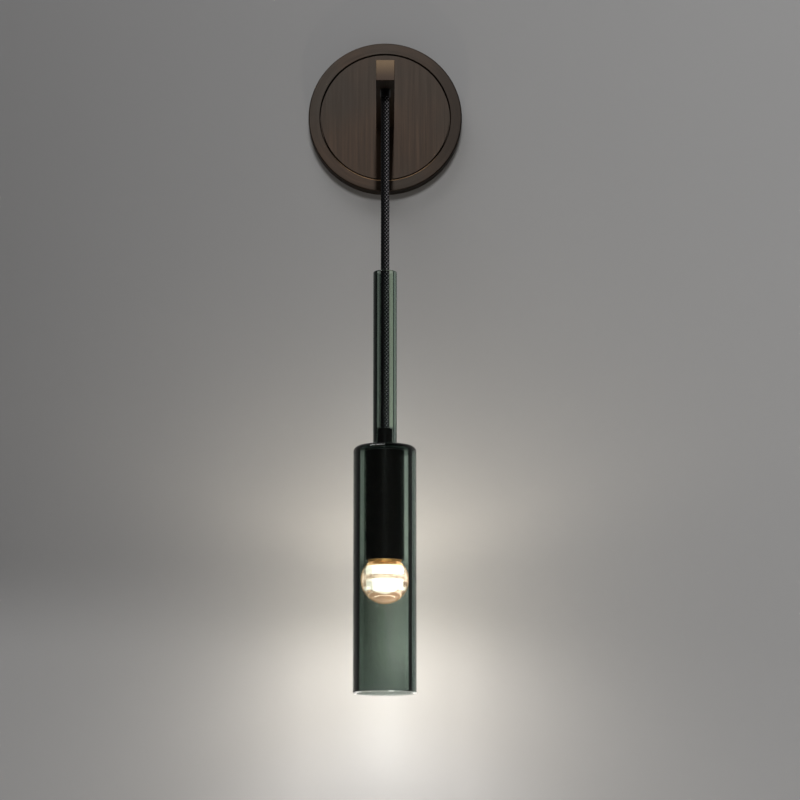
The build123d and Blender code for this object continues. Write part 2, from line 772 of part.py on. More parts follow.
with BuildPart() as socket_contacts:
    with BuildSketch(level(cavity_top)):
        with GridLocations(pin_spacing, 1, 2, 1):
            Rectangle(2 * contact_half, contact_depth)
    extrude(amount=-contact_length)
    with BuildSketch(level(cavity_top - contact_leaf)):
        with GridLocations(pin_spacing, 1, 2, 1):
            Rectangle(2 * (pin_radius + fit_gap), contact_depth)
    extrude(amount=contact_leaf - contact_length, mode=Mode.SUBTRACT)
socket_contacts.part.label = "socket_contacts"
export_step(socket_contacts.part, "parts/socket_contacts.step")


def holder_lead(side):
    """Core from the end of the flex down to a contact. Side is -1 for live and 1 for neutral."""
    start_x = side * core_spacing
    pin_x = side * pin_spacing / 2
    return insulated_core(
        [
            (start_x, flex_y, flex_end_z), (start_x, flex_y, flex_end_z - 4),
            (pin_x, flex_y, flex_end_z - 9), (pin_x, flex_y, cavity_top + 2 * fit_gap),
        ],
        [4.0, 4.0],
    )


with BuildPart() as holder_lead_live:
    add(holder_lead(-1))
holder_lead_live.part.label = "holder_lead_live"
export_step(holder_lead_live.part, "parts/holder_lead_live.step")

with BuildPart() as holder_lead_neutral:
    add(holder_lead(1))
holder_lead_neutral.part.label = "holder_lead_neutral"
export_step(holder_lead_neutral.part, "parts/holder_lead_neutral.step")

# ring terminal under the rear socket screw, with a barrel that stands up towards the flex
tag_barrel_y = 2.6
tag_barrel_top = tab_top + 6.0
tag_ring_place = socket_screw_place
with BuildPart() as holder_earth_tag:
    with BuildSketch(level(tab_top)):
        with Locations((0, tag_ring_place)):
            Circle(2.6)
        with Locations((0, (tag_ring_place + tag_barrel_y) / 2)):
            Rectangle(2 * barrel_radius, tag_ring_place - tag_barrel_y)
        with Locations((0, tag_barrel_y)):
            Circle(barrel_radius)
        with Locations((0, tag_ring_place)):
            Circle(socket_screw_radius + 2 * fit_gap, mode=Mode.SUBTRACT)
    extrude(amount=earth_tag_thick)
    with BuildSketch(level(tab_top + earth_tag_thick)):
        with Locations((0, tag_barrel_y)):
            Circle(barrel_radius)
            Circle(core_radius + fit_gap, mode=Mode.SUBTRACT)
    extrude(amount=tag_barrel_top - tab_top - earth_tag_thick)
holder_earth_tag.part.label = "holder_earth_tag"
export_step(holder_earth_tag.part, "parts/holder_earth_tag.step")

with BuildPart() as holder_lead_earth:
    add(
        insulated_core(
            [
                (0, flex_y, flex_end_z), (0, flex_y, flex_end_z - 2.5),
                (0, flex_y + tag_barrel_y, tag_barrel_top + 1.5),
                (0, flex_y + tag_barrel_y, tab_top + earth_tag_thick + 4 * fit_gap),
            ],
            [1.8, 1.8],
        )
    )
holder_lead_earth.part.label = "holder_lead_earth"
export_step(holder_lead_earth.part, "parts/holder_lead_earth.step")

# ---------------------------------------------------------------- glass shade and its washer
with BuildPart() as shade_washer:
    with BuildSketch(level(holder_top)):
        Circle(holder_radius - 0.8)
        Circle(neck_bore + 1, mode=Mode.SUBTRACT)
    extrude(amount=washer_thick)
shade_washer.part.label = "shade_washer"
export_step(shade_washer.part, "parts/shade_washer.step")

# one blown piece: a thin neck round the flex and a wide body round the holder
with BuildPart() as glass_shade:
    with BuildSketch(flex_side):
        with BuildLine():
            FilletPolyline(
                (body_radius, body_bottom), (body_radius, shoulder_top), (neck_radius, shoulder_top),
                (neck_radius, neck_top), (neck_bore, neck_top), (neck_bore, shoulder_inside),
                (body_inside, shoulder_inside), (body_inside, body_bottom),
                radius=[
                    glass_rim, shoulder_round, neck_foot, glass_rim,
                    glass_rim, glass_rim, shoulder_round_inside, glass_rim,
                ],
                close=True,
            )
        make_face()
    revolve(axis=flex_axis)
glass_shade.part.label = "glass_shade"
export_step(glass_shade.part, "parts/glass_shade.step")

# ---------------------------------------------------------------- lamp
with BuildPart() as lamp_pins:
    with BuildSketch(level(lamp_top - pin_sunk)):
        with GridLocations(pin_spacing, 1, 2, 1):
            Circle(pin_radius)
    extrude(amount=pin_sunk + pin_show)
    fillet(lamp_pins.edges().group_by(Axis.Z)[-1], radius=0.5)
lamp_pins.part.label = "lamp_pins"
export_step(lamp_pins.part, "parts/lamp_pins.step")

with BuildPart() as lamp_base:
    with BuildSketch(level(lamp_top)):
        Circle(lamp_base_radius)
    extrude(amount=-lamp_base_height)
    fillet(lamp_base.edges().group_by(Axis.Z)[-1], radius=0.8)
    with BuildSketch(level(lamp_top)):
        with GridLocations(pin_spacing, 1, 2, 1):
            Circle(pin_radius + fit_gap)
    extrude(amount=-pin_sunk, mode=Mode.SUBTRACT)
lamp_base.part.label = "lamp_base"
export_step(lamp_base.part, "parts/lamp_base.step")

housing_inside = housing_radius - housing_wall
housing_floor = housing_top - housing_wall
with BuildPart() as lamp_housing:
    with BuildSketch(flex_side):
        with BuildLine():
            Polyline(
                (0, housing_top), (lamp_base_radius, housing_top), (housing_radius, housing_top - housing_taper),
                (housing_radius, collar_top), (housing_inside, collar_top),
                (housing_inside, housing_top - housing_taper - housing_wall),
                (lamp_base_radius - housing_wall, housing_floor), (0, housing_floor), close=True,
            )
        make_face()
    revolve(axis=flex_axis)
lamp_housing.part.label = "lamp_housing"
export_step(lamp_housing.part, "parts/lamp_housing.step")

driver_board_top = housing_floor - seat_gap
driver_board_bottom = collar_top + seat_gap
driver_board_thick = 1.2
driver_board_width = 2 * (lamp_base_radius - housing_wall) - 1
with BuildPart() as driver_board:
    with BuildSketch(level(driver_board_bottom)):
        Rectangle(driver_board_width, driver_board_thick)
    extrude(amount=driver_board_top - driver_board_bottom)
    with BuildSketch(level(driver_board_bottom + 3)):
        with Locations((0, 3)):
            Circle(3 - driver_board_thick / 2)
        with Locations((0, driver_board_thick / 2 + 0.3)):
            Rectangle(2, 0.6)
    extrude(amount=9)
    with BuildSketch(level(driver_board_top - 8)):
        with Locations((0, -driver_board_thick / 2 - 1.5)):
            Rectangle(7, 3)
    extrude(amount=6)
driver_board.part.label = "driver_board"
export_step(driver_board.part, "parts/driver_board.step")

# amber metal ring that shows between the holder's mouth and the glass ball
with BuildPart() as lamp_collar:
    with BuildSketch(flex_side):
        with BuildLine():
            Polyline(
                (collar_bore, collar_top), (collar_radius, collar_top), (collar_radius, ball_flat_z),
                (led_board_radius + fit_gap, ball_flat_z), (led_board_radius + fit_gap, board_top),
                (collar_bore, board_top), close=True,
            )
        make_face()
    revolve(axis=flex_axis)
lamp_collar.part.label = "lamp_collar"
export_step(lamp_collar.part, "parts/lamp_collar.step")

with BuildPart() as led_board:
    with BuildSketch(level(board_top)):
        Circle(led_board_radius)
    extrude(amount=-led_board_thick)
led_board.part.label = "led_board"
export_step(led_board.part, "parts/led_board.step")

with BuildPart() as led_chips:
    with BuildSketch(level(board_under)):
        with PolarLocations(led_chip_circle, led_chip_count):
            Rectangle(led_chip_side, led_chip_side)
    extrude(amount=-0.6)
led_chips.part.label = "led_chips"
export_step(led_chips.part, "parts/led_chips.step")

# translucent cup under the lights: the lit heart of the ball
with BuildPart() as lamp_core:
    with BuildSketch(flex_side) as core_section:
        with BuildLine():
            Polyline(
                (core_radius_outside - core_wall, board_under), (core_radius_outside, board_under),
                (core_radius_outside, core_bottom), (0, core_bottom), (0, core_bottom + core_wall),
                (core_radius_outside - core_wall, core_bottom + core_wall), close=True,
            )
        make_face()
        fillet(core_section.vertices().sort_by_distance((core_radius_outside, core_bottom))[0], radius=3)
        core_inner = (core_radius_outside - core_wall, core_bottom + core_wall)
        fillet(core_section.vertices().sort_by_distance(core_inner)[0], radius=3 - core_wall)
    revolve(axis=flex_axis)
lamp_core.part.label = "lamp_core"
export_step(lamp_core.part, "parts/lamp_core.step")

# thick clear ball, cut flat where it meets the collar, with a round-bottomed bore for the core
with BuildPart() as lamp_ball:
    with BuildSketch(flex_side) as ball_section:
        with BuildLine():
            Line((0, ball_bore_floor), (0, ball_z - ball_radius))
            ThreePointArc(
                (0, ball_z - ball_radius), (ball_radius, ball_z), (collar_radius, ball_flat_z)
            )
            Polyline(
                (collar_radius, ball_flat_z), (ball_bore, ball_flat_z), (ball_bore, ball_bore_floor),
                (0, ball_bore_floor),
            )
        make_face()
        fillet(ball_section.vertices().sort_by_distance((ball_bore, ball_bore_floor))[0], radius=3 + seat_gap)
    revolve(axis=flex_axis)
lamp_ball.part.label = "lamp_ball"
export_step(lamp_ball.part, "parts/lamp_ball.step")
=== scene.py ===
# %% [markdown]
# # A tube wall light, dressed
# The light is a round bronze rose with a square arm. A textile flex hangs from the arm and carries a black
# lamp holder inside one blown tube of smoky glass, with a lit glass ball at the holder's mouth. The solids
# come from CAD and never move. What is added here is the finish of every piece, the braided flex, the lines
# and tints of the glass, the light in the lamp, and a plain studio.
#
# ## The frame
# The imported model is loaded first. Its row frame has +Z up and the wall at Y = 0, with the room towards -Y.

import json
from math import atan, cos, degrees, pi, radians, sin

import bpy
import numpy as np
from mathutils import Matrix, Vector


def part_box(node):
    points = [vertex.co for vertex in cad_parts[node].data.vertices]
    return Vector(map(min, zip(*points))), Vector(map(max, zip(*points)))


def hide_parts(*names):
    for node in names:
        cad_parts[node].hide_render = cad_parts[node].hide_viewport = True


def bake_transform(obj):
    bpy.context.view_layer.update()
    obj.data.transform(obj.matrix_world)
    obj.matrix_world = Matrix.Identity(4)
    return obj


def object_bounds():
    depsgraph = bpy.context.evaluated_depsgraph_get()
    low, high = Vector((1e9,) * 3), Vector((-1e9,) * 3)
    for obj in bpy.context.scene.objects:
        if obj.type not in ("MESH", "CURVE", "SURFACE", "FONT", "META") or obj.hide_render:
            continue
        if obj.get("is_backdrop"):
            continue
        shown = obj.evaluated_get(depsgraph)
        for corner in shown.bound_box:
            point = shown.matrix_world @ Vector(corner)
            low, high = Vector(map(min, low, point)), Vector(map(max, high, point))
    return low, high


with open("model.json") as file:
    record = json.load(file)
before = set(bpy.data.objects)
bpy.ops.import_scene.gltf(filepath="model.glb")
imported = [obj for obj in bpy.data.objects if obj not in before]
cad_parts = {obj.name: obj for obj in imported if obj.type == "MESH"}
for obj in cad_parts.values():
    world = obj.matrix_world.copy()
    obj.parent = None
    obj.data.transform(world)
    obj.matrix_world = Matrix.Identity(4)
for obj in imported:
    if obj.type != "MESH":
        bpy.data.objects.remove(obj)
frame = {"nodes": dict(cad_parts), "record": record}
cad_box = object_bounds()
nodes = frame["nodes"]


def corner(node, side, axis):
    """One coordinate of a CAD node's box: side is 0 for low and 1 for high, axis is x, y or z."""
    return getattr(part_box(node)[side], axis)


# %% [markdown]
# ## The camera
# The photograph was taken from straight ahead but from low down: the rims of the glass open downwards and the
# arm's underside shows. From those ellipses the camera stands 2.35 m from the wall and 0.67 m below the
# rose, pitched up. A pitched camera keeps the shift at zero, which also keeps every other view honest.

# %% Camera
camera_place = Vector((0.0, -2.3455, -0.6678))
camera_pitch = 10.3
camera_yaw = 0.3075
frame_side = 800           # the photograph's width and height in pixels
focal_in_pixels = 2850.0

lens = bpy.data.cameras.new("camera")
lens.sensor_width = 36.0
lens.lens = focal_in_pixels / frame_side * lens.sensor_width
camera = bpy.data.objects.new("camera", lens)
camera.location = camera_place
camera.rotation_euler = (radians(90 + camera_pitch), 0, radians(-camera_yaw))
bpy.context.scene.collection.objects.link(camera)
bpy.context.scene.camera = camera
bpy.context.scene.view_settings.view_transform = "Standard"
across_view = degrees(2 * atan(lens.sensor_width / 2 / lens.lens))
print(f"lens {lens.lens:.1f} mm, {across_view:.1f} degrees across")

# %% [markdown]
# ## Shader maths that reads like sums
# A node tree is a sum written as boxes and wires. One small class stands for a wire, so that
# `1 - grain * 0.2` adds the Math nodes by itself. Two masks are used everywhere: `between` rises smoothly
# from 0 to 1, and `window` rises and falls again.


# %% A wire
class Wire:
    """One output socket. Arithmetic on it adds Math nodes."""

    def __init__(self, tree, socket):
        self.tree = tree
        self.socket = socket

    def maths(self, operation, *values):
        node = self.tree.nodes.new("ShaderNodeMath")
        node.operation = operation
        for slot, value in zip(node.inputs, values):
            plug(self.tree, slot, value)
        return Wire(self.tree, node.outputs[0])

    def __add__(self, other):
        return self.maths("ADD", self, other)

    __radd__ = __add__

    def __sub__(self, other):
        return self.maths("SUBTRACT", self, other)

    def __rsub__(self, other):
        return self.maths("SUBTRACT", other, self)

    def __mul__(self, other):
        return self.maths("MULTIPLY", self, other)

    __rmul__ = __mul__

    def __truediv__(self, other):
        return self.maths("DIVIDE", self, other)

    def __pow__(self, other):
        return self.maths("POWER", self, other)

    def at_least(self, floor):
        return self.maths("MAXIMUM", self, floor)

    def at_most(self, ceiling):
        return self.maths("MINIMUM", self, ceiling)

    def between(self, low, high):
        """0 below low, 1 above high, and smooth in between."""
        share = ((self - low) / (high - low)).at_most(1.0).at_least(0.0)
        return share * share * (3.0 - 2.0 * share)

    def window(self, low, full, fading, high):
        """1 from full to fading, 0 below low and above high, and smooth in between."""
        return self.between(low, full) * (1.0 - self.between(fading, high))


def plug(tree, slot, value):
    """Links a wire into a slot, or writes a plain value there."""
    if isinstance(value, Wire):
        tree.links.new(value.socket, slot)
    else:
        slot.default_value = value


print("masks: between and window")

# %% [markdown]
# ## A finish is one shader and its wires
# Every material here is one Principled shader. Anything that isn't plain maths comes from one method that
# takes the node's type, its settings, and what goes into its sockets. Places are measured on the piece
# itself, in metres, so a pattern stays on its piece when the piece moves.


# %% A finish
class Finish:
    """A material round one Principled shader."""

    def __init__(self, name, **surface):
        self.material = bpy.data.materials.new(name)
        self.material.use_nodes = True
        self.tree = self.material.node_tree
        self.tree.nodes.clear()
        self.output = self.tree.nodes.new("ShaderNodeOutputMaterial")
        self.shader = self.tree.nodes.new("ShaderNodeBsdfPrincipled")
        self.tree.links.new(self.shader.outputs[0], self.output.inputs["Surface"])
        self.set(**surface)

    def node(self, kind, settings=None, sockets=None, out=0):
        """Any node: its type, its settings, then values or wires for its sockets."""
        node = self.tree.nodes.new(kind)
        for key, value in (settings or {}).items():
            setattr(node, key, value)
        for key, value in (sockets or {}).items():
            plug(self.tree, node.inputs[key], value)
        return Wire(self.tree, node.outputs[out])

    def set(self, **surface):
        """Principled sockets by name, with _ for a space: base_color, roughness and so on."""
        names = {slot.name.lower().replace(" ", "_"): slot.name for slot in self.shader.inputs}
        for key, value in surface.items():
            if isinstance(value, tuple) and len(value) == 3:
                value = (*value, 1.0)
            plug(self.tree, self.shader.inputs[names[key]], value)
        return self

    def place(self):
        """The piece's own coordinates, in metres in the row frame at rest."""
        return self.node("ShaderNodeTexCoord", out="Object")

    def axes(self):
        """X, Y and Z of those coordinates, each as a wire."""
        parts = self.node("ShaderNodeSeparateXYZ", {}, {0: self.place()}).socket.node
        return [Wire(self.tree, parts.outputs[axis]) for axis in "XYZ"]

    def stretched(self, vector, x, y, z):
        """Coordinates multiplied axis by axis: large numbers make fine grain along that axis."""
        return self.node("ShaderNodeVectorMath", {"operation": "MULTIPLY"}, {0: vector, 1: (x, y, z)})

    def scaled(self, x, y, z):
        """The piece's own coordinates, stretched."""
        return self.stretched(self.place(), x, y, z)

    def noise(self, vector, scale, detail=2.0, roughness=0.5):
        return self.node(
            "ShaderNodeTexNoise", {},
            {"Vector": vector, "Scale": scale, "Detail": detail, "Roughness": roughness},
        )

    def mix(self, factor, a, b):
        """A colour between a and b."""
        colours = {0: factor}
        for slot, value in ((6, a), (7, b)):
            colours[slot] = (*value, 1.0) if isinstance(value, tuple) else value
        return self.node("ShaderNodeMix", {"data_type": "RGBA"}, colours, out=2)

    def relief(self, height, depth):
        """A bump of this real depth in metres."""
        return self.node("ShaderNodeBump", {}, {"Height": height, "Strength": 1.0, "Distance": depth})


def paint(finish, *names):
    """Gives a finish to CAD nodes by name, in every slot that they have."""
    for name in names:
        mesh = nodes[name].data
        mesh.materials.clear()
        mesh.materials.append(finish.material)
    print(f"{finish.material.name}: {len(names)} nodes, {len(finish.tree.nodes)} shader nodes")


# %% [markdown]
# ## Bronze
# The rose and the arm are brass, darkened and lacquered: brown metal with a fine satin grain. The inner plate
# is brushed straight up and down, the bezel is brushed round its ring, and both are cloudy in large soft
# patches where the stain took differently. Noise stretched along one axis gives the grain. It drives the
# roughness and a hair of relief, so it shows as glints and not as painted lines.

# %% Stained brass
BRONZE = (0.0245, 0.0168, 0.0117)
BRONZE_WARM = (0.0305, 0.0192, 0.0127)
BRONZE_GREY = (0.0205, 0.0165, 0.0129)
BRONZE_DEEP = (0.0135, 0.0094, 0.0066)
BRASS_HIGHLIGHT = (0.42, 0.27, 0.155)
brush_depth = 0.000004
band_width = 0.26          # the streaks are about four times as wide as the brush lines


def bronze(name, grain, clouds=9.0):
    """Stained brass. grain is a function that gives the stretched coordinates of its brushing."""
    finish = Finish(name, metallic=1.0)
    brushed = grain(finish)
    brush = finish.noise(brushed, 1.0, 4.0, 0.65)
    cloud = finish.noise(finish.place(), clouds, 3.0)
    stain = finish.mix(cloud.between(0.38, 0.62), BRONZE_GREY, BRONZE_WARM)
    bands = finish.noise(finish.stretched(brushed, band_width, band_width, band_width), 1.0, 3.0, 0.6)
    streaked = finish.mix(bands.between(0.40, 0.66) * 0.50, stain, BRONZE_DEEP)
    finish.stained = finish.mix(brush.between(0.3, 0.7) * 0.4, streaked, BRONZE)
    finish.set(
        base_color=finish.stained,
        roughness=0.54 + 0.10 * brush.between(0.25, 0.75),
        normal=finish.relief(brush, brush_depth),
        coat_weight=0.05,
        coat_roughness=0.35,
    )
    return finish


# %% [markdown]
# Brushing follows the tool. The plate was brushed straight, the bezel while it turned on a lathe, and the arm
# along its length. All three are the same noise, read in coordinates that are squeezed across the lines and
# stretched along them. For the bezel these are radius and angle in place of width and height.

# %% Three ways of brushing
across_brush = 1500.0      # noise cells in a metre across the brush lines
across_edge = 900.0        # and over the thickness of the bezel
along_plate = 22.0
along_arm = 24.0
along_ring = 2.2           # noise cells in a radian


def straight_grain(finish):
    """Brushing straight up and down."""
    return finish.scaled(across_brush, across_brush, along_plate)


def ring_grain(finish):
    """Brushing round the rose's axis: fine across the radius, long round the ring."""
    x, y, z = finish.axes()
    radius = (x * x + z * z) ** 0.5
    turn = x.maths("ARCTAN2", z, x)
    return finish.node(
        "ShaderNodeCombineXYZ", {}, {"X": radius * across_brush, "Y": y * across_edge, "Z": turn * along_ring}
    )


def arm_grain(finish):
    """Brushing along the arm."""
    return finish.scaled(across_brush, along_arm, across_brush)


# %% Plate and arm
plate_bronze = bronze("bronze_plate", straight_grain)
ring_bronze = bronze("bronze_ring", ring_grain, clouds=14.0)
arm_bronze = bronze("bronze_arm", arm_grain)
paint(plate_bronze, "rose_inner_plate")
paint(arm_bronze, "arm_tube")

# %% [markdown]
# The bezel isn't even all round. Its right side is painted darker as shade, and its inner edge carries a
# painted highlight of brighter brass along the bottom, where light from above catches it. Both are masks of
# place: how far out, how far forward, how high.

# %% Bezel
bezel_inner_radius = 0.0556
bezel_front_y = -0.0112
bezel_x, bezel_y, bezel_z = ring_bronze.axes()
bezel_out = (bezel_x * bezel_x + bezel_z * bezel_z) ** 0.5
inner_edge = 1.0 - bezel_out.between(bezel_inner_radius, bezel_inner_radius + 0.0003)
front_edge = 1.0 - bezel_y.between(bezel_front_y, bezel_front_y + 0.0002)
highlight_low_down = 1.0 - bezel_z.between(-0.0520, -0.0300)
# painted shade: the bezel's right side is darker
painted_shade_right = bezel_x.between(0.028, 0.060) * 0.95
shaded_on_right = ring_bronze.mix(painted_shade_right, ring_bronze.stained, BRONZE_DEEP)
# painted highlight: brighter brass on the inner edge along the bottom
ring_bronze.set(base_color=ring_bronze.mix(inner_edge * front_edge * highlight_low_down, shaded_on_right, BRASS_HIGHLIGHT))
paint(ring_bronze, "rose_cover")

# %% [markdown]
# The arm's end face is the brightest metal in the photograph, because the key light slides down it. Its brass
# runs from darker at the foot to paler at the top edge, a painted highlight of that light, and its roughness
# is a little lower near the top.

# %% Arm end
ARM_END_SHADED = (0.0185, 0.0112, 0.0072)
ARM_END_HIGHLIGHT = (0.0460, 0.0305, 0.0170)
arm_end = Finish("bronze_arm_end", metallic=1.0)
highlight_rise = arm_end.axes()[2].between(corner("arm_end_cap", 0, "z"), corner("arm_end_cap", 1, "z"))
scuff = arm_end.noise(arm_end.scaled(across_brush, across_brush, 60.0), 1.0, 4.0, 0.6)
# the base colour is a painted highlight, paler towards the top edge
arm_end.set(
    base_color=arm_end.mix(highlight_rise, ARM_END_SHADED, ARM_END_HIGHLIGHT),
    roughness=0.50 - 0.05 * highlight_rise + 0.06 * scuff,
    normal=arm_end.relief(scuff, brush_depth),
    coat_weight=0.05,
    coat_roughness=0.3,
)
paint(arm_end, "arm_end_cap")

# %% [markdown]
# ## Black lacquer, steel and the hidden pieces
# The grip, the holder and its cap are lacquered black with a soft orange-peel skin. Behind them are the
# ordinary metals and plastics of a fitting. They are seen from behind and through the glass, so each has its
# own small signs: zinc has its cloudy crystals, plastics a moulded grain, cores a slow change of sheen.


# %% Lacquer, metal and plastic
skin_depth = 0.0000012
grain_depth = 0.000006


def shaded(colour, share):
    """The same colour, lighter or darker by a share."""
    return tuple(part * share for part in colour)


def lacquer(name, colour, rough):
    """Glossy paint with an orange-peel skin."""
    finish = Finish(name, specular_ior_level=0.4)
    skin = finish.noise(finish.place(), 1300.0, 2.0)
    wear = finish.noise(finish.place(), 35.0, 2.0)
    finish.set(
        base_color=finish.mix(wear.between(0.3, 0.7), colour, shaded(colour, 1.25)),
        roughness=rough + 0.05 * wear,
        normal=finish.relief(skin, skin_depth),
    )
    return finish


def plated(name, colour, rough=0.28, grain=(300.0, 300.0, 300.0)):
    """Bare or plated metal with a fine crystal grain and cloudy patches."""
    finish = Finish(name, metallic=1.0)
    crystals = finish.noise(finish.scaled(*grain), 1.0, 4.0, 0.6)
    patches = finish.noise(finish.place(), 60.0, 2.0)
    finish.set(
        base_color=finish.mix(patches.between(0.35, 0.65), colour, shaded(colour, 0.82)),
        roughness=rough + 0.18 * crystals,
        normal=finish.relief(crystals, grain_depth),
    )
    return finish


def moulded(name, colour, rough=0.42, gloss=0.5):
    """Plastic or rubber from a mould, with the mould's fine grain and a slow change of colour."""
    finish = Finish(name, specular_ior_level=gloss)
    grain = finish.noise(finish.place(), 1600.0, 2.0)
    flow = finish.noise(finish.place(), 70.0, 2.0)
    finish.set(
        base_color=finish.mix(flow.between(0.35, 0.7), colour, shaded(colour, 0.9)),
        roughness=rough + 0.12 * grain,
        normal=finish.relief(grain, grain_depth),
    )
    return finish


print("three kinds of finish: lacquer, plated and moulded")

# %% [markdown]
# Which piece gets which is what an electrician would find: zinc on the strap, flange, nuts and clamp, black
# steel for the screws that show, nickel pins, springy bronze contacts, and pale plastics near the lamp.

# %% The fitting's pieces
black_lacquer = lacquer("black_lacquer", (0.0026, 0.0022, 0.0019), 0.11)
zinc = plated("zinc_steel", (0.52, 0.53, 0.54))
blackened = plated("blackened_steel", (0.06, 0.055, 0.05), 0.4)
nickel = plated("nickel_pins", (0.70, 0.69, 0.66), 0.16)
spring_bronze = plated("spring_bronze", (0.66, 0.46, 0.22), 0.24)
nylon = moulded("black_nylon", (0.0030, 0.0028, 0.0026), 0.26, gloss=0.2)
silicone = moulded("black_silicone", (0.012, 0.012, 0.012), 0.6)
pale_plastic = moulded("lamp_plastic", (0.72, 0.71, 0.66), 0.38)
socket_plastic = moulded("socket_plastic", (0.55, 0.53, 0.48), 0.5)
connector_plastic = moulded("connector_plastic", (0.62, 0.63, 0.62), 0.25)
board_green = moulded("board_green", (0.03, 0.16, 0.06), 0.35)
board_white = moulded("board_white", (0.80, 0.80, 0.78), 0.4)
paint(black_lacquer, "cord_grip", "holder_cap", "holder_sleeve")
paint(
    zinc, "wall_bracket", "earth_screw", "plate_screws", "arm_flange", "flange_washers", "flange_nuts",
    "cord_stop_collar", "hollow_nipple", "socket_bracket", "toothed_washer", "nipple_nut", "socket_screws",
)
paint(blackened, "rose_grub_screws", "cord_stop_screw", "grip_screw", "sleeve_screws")
paint(nickel, "lamp_pins")
paint(spring_bronze, "earth_tag", "holder_earth_tag", "socket_contacts")
paint(nylon, "cord_exit_bush")
paint(silicone, "shade_washer")
paint(pale_plastic, "lamp_base", "lamp_housing")
paint(socket_plastic, "lamp_socket")
paint(connector_plastic, "wire_connectors")
paint(board_green, "driver_board")
paint(board_white, "led_board")

# %% [markdown]
# The cores of the flex have the colours that electricians know. The earth core is green with a yellow stripe
# that winds round it, which a wave texture laid diagonally gives.

# %% Cores
EARTH_GREEN = (0.05, 0.26, 0.04)
EARTH_YELLOW = (0.62, 0.50, 0.02)
core_brown = moulded("core_brown", (0.13, 0.045, 0.018), 0.3)
core_blue = moulded("core_blue", (0.02, 0.10, 0.36), 0.3)
core_earth = Finish("core_earth")
stripes = core_earth.node(
    "ShaderNodeTexWave", {"wave_type": "BANDS", "bands_direction": "DIAGONAL"},
    {"Vector": core_earth.place(), "Scale": 150.0, "Distortion": 0.5, "Detail": 1.0},
    out="Fac",
)
sheen = core_earth.noise(core_earth.place(), 500.0)
core_earth.set(
    base_color=core_earth.mix(stripes.between(0.45, 0.55), EARTH_GREEN, EARTH_YELLOW),
    roughness=0.28 + 0.15 * sheen,
)
paint(core_brown, "arm_lead_live", "holder_lead_live")
paint(core_blue, "arm_lead_neutral", "holder_lead_neutral")
paint(core_earth, "arm_lead_earth", "holder_lead_earth", "earth_link")

# %% [markdown]
# ## The braided flex
# A round textile flex is a rubber cable in a braided sleeve: sixteen bundles of yarn, half wound one way and
# half the other, each passing over and under the ones it meets. At this thickness the braid shows as real
# relief against the light, so it is modelled. A surface is laid round the flex's centreline, and its radius
# follows the highest yarn at each point. The centreline is a NURBS spline through the same places as the
# CAD flex: out of the bush in the arm and straight down to the grip, because the lamp's weight holds it taut.

# %% Flex centreline
flex_x = 0.0
flex_y = -0.1215
bush_mouth_z = -0.0150
grip_top_z = -0.2870
flex_diameter = 0.0070
route = [
    (flex_x, flex_y, bush_mouth_z),
    (flex_x, flex_y, -0.0240),
    (flex_x, flex_y, -0.0600),
    (flex_x, flex_y, -0.1500),
    (flex_x, flex_y, -0.2400),
    (flex_x, flex_y, grip_top_z),
]
line = bpy.data.curves.new("flex_line", "CURVE")
line.dimensions = "3D"
line.resolution_u = 24
spline = line.splines.new("NURBS")
spline.points.add(len(route) - 1)
for point, place in zip(spline.points, route):
    point.co = (*place, 1.0)
spline.order_u = 3
spline.use_endpoint_u = True
line_object = bpy.data.objects.new("flex_line", line)
bpy.context.scene.collection.objects.link(line_object)
bpy.context.view_layer.update()
sampled = bpy.data.meshes.new_from_object(line_object)
centreline = np.array([vertex.co for vertex in sampled.vertices], float)
bpy.data.objects.remove(line_object)
print(f"flex {np.linalg.norm(np.diff(centreline, axis=0), axis=1).sum():.4f} m long")

# %% [markdown]
# Unrolled, the braid is a chequerboard turned by 45 degrees: one hand of yarn runs along one diagonal, the
# other hand along the other, and they take turns on top. So the height of the braid at any angle and
# distance is a short sum, with no strand modelled by itself.

# %% Height of the braid
strands_each_way = 8
braid_pitch = 0.0031       # along the flex, from one yarn bundle to the next of the same hand
yarn_depth = 0.00050
yarn_crown = 0.92          # how round a bundle is across its width: 1 is a half circle
yarn_arch = 0.45           # how far a bundle sinks towards the crossings where it goes under
under_place = 0.35         # where on its arch a bundle is while another covers it
under_height = 0.45


def yarn(across, along):
    """Height of a yarn bundle, 0 to 1: round across its width, arched where it passes over."""
    crown = np.sqrt(np.clip(1 - (2 * across) ** 2 * yarn_crown, 0, 1))
    return crown * (1 - yarn_arch * (2 * along) ** 2)


def braid_height(turn, along):
    """Height of the highest yarn at an angle (in strands) and a distance (in pitches)."""
    right = turn + along
    left = turn - along
    over = (np.floor(right) + np.floor(left)) % 2 == 0
    right_across = right % 1 - 0.5
    left_across = left % 1 - 0.5
    top = np.where(over, yarn(right_across, left_across), yarn(left_across, right_across))
    covered = np.where(over, yarn(left_across, under_place), yarn(right_across, under_place))
    return np.maximum(top, covered * under_height)


print(f"{2 * strands_each_way} bundles, a crossing every {braid_pitch * 1000:.1f} mm")

# %% [markdown]
# The surface is a stack of rings round the centreline. Its upper end lies inside the bush, where the flex
# swings, and is closed by a ball round the bend, so that no gap opens at any angle.

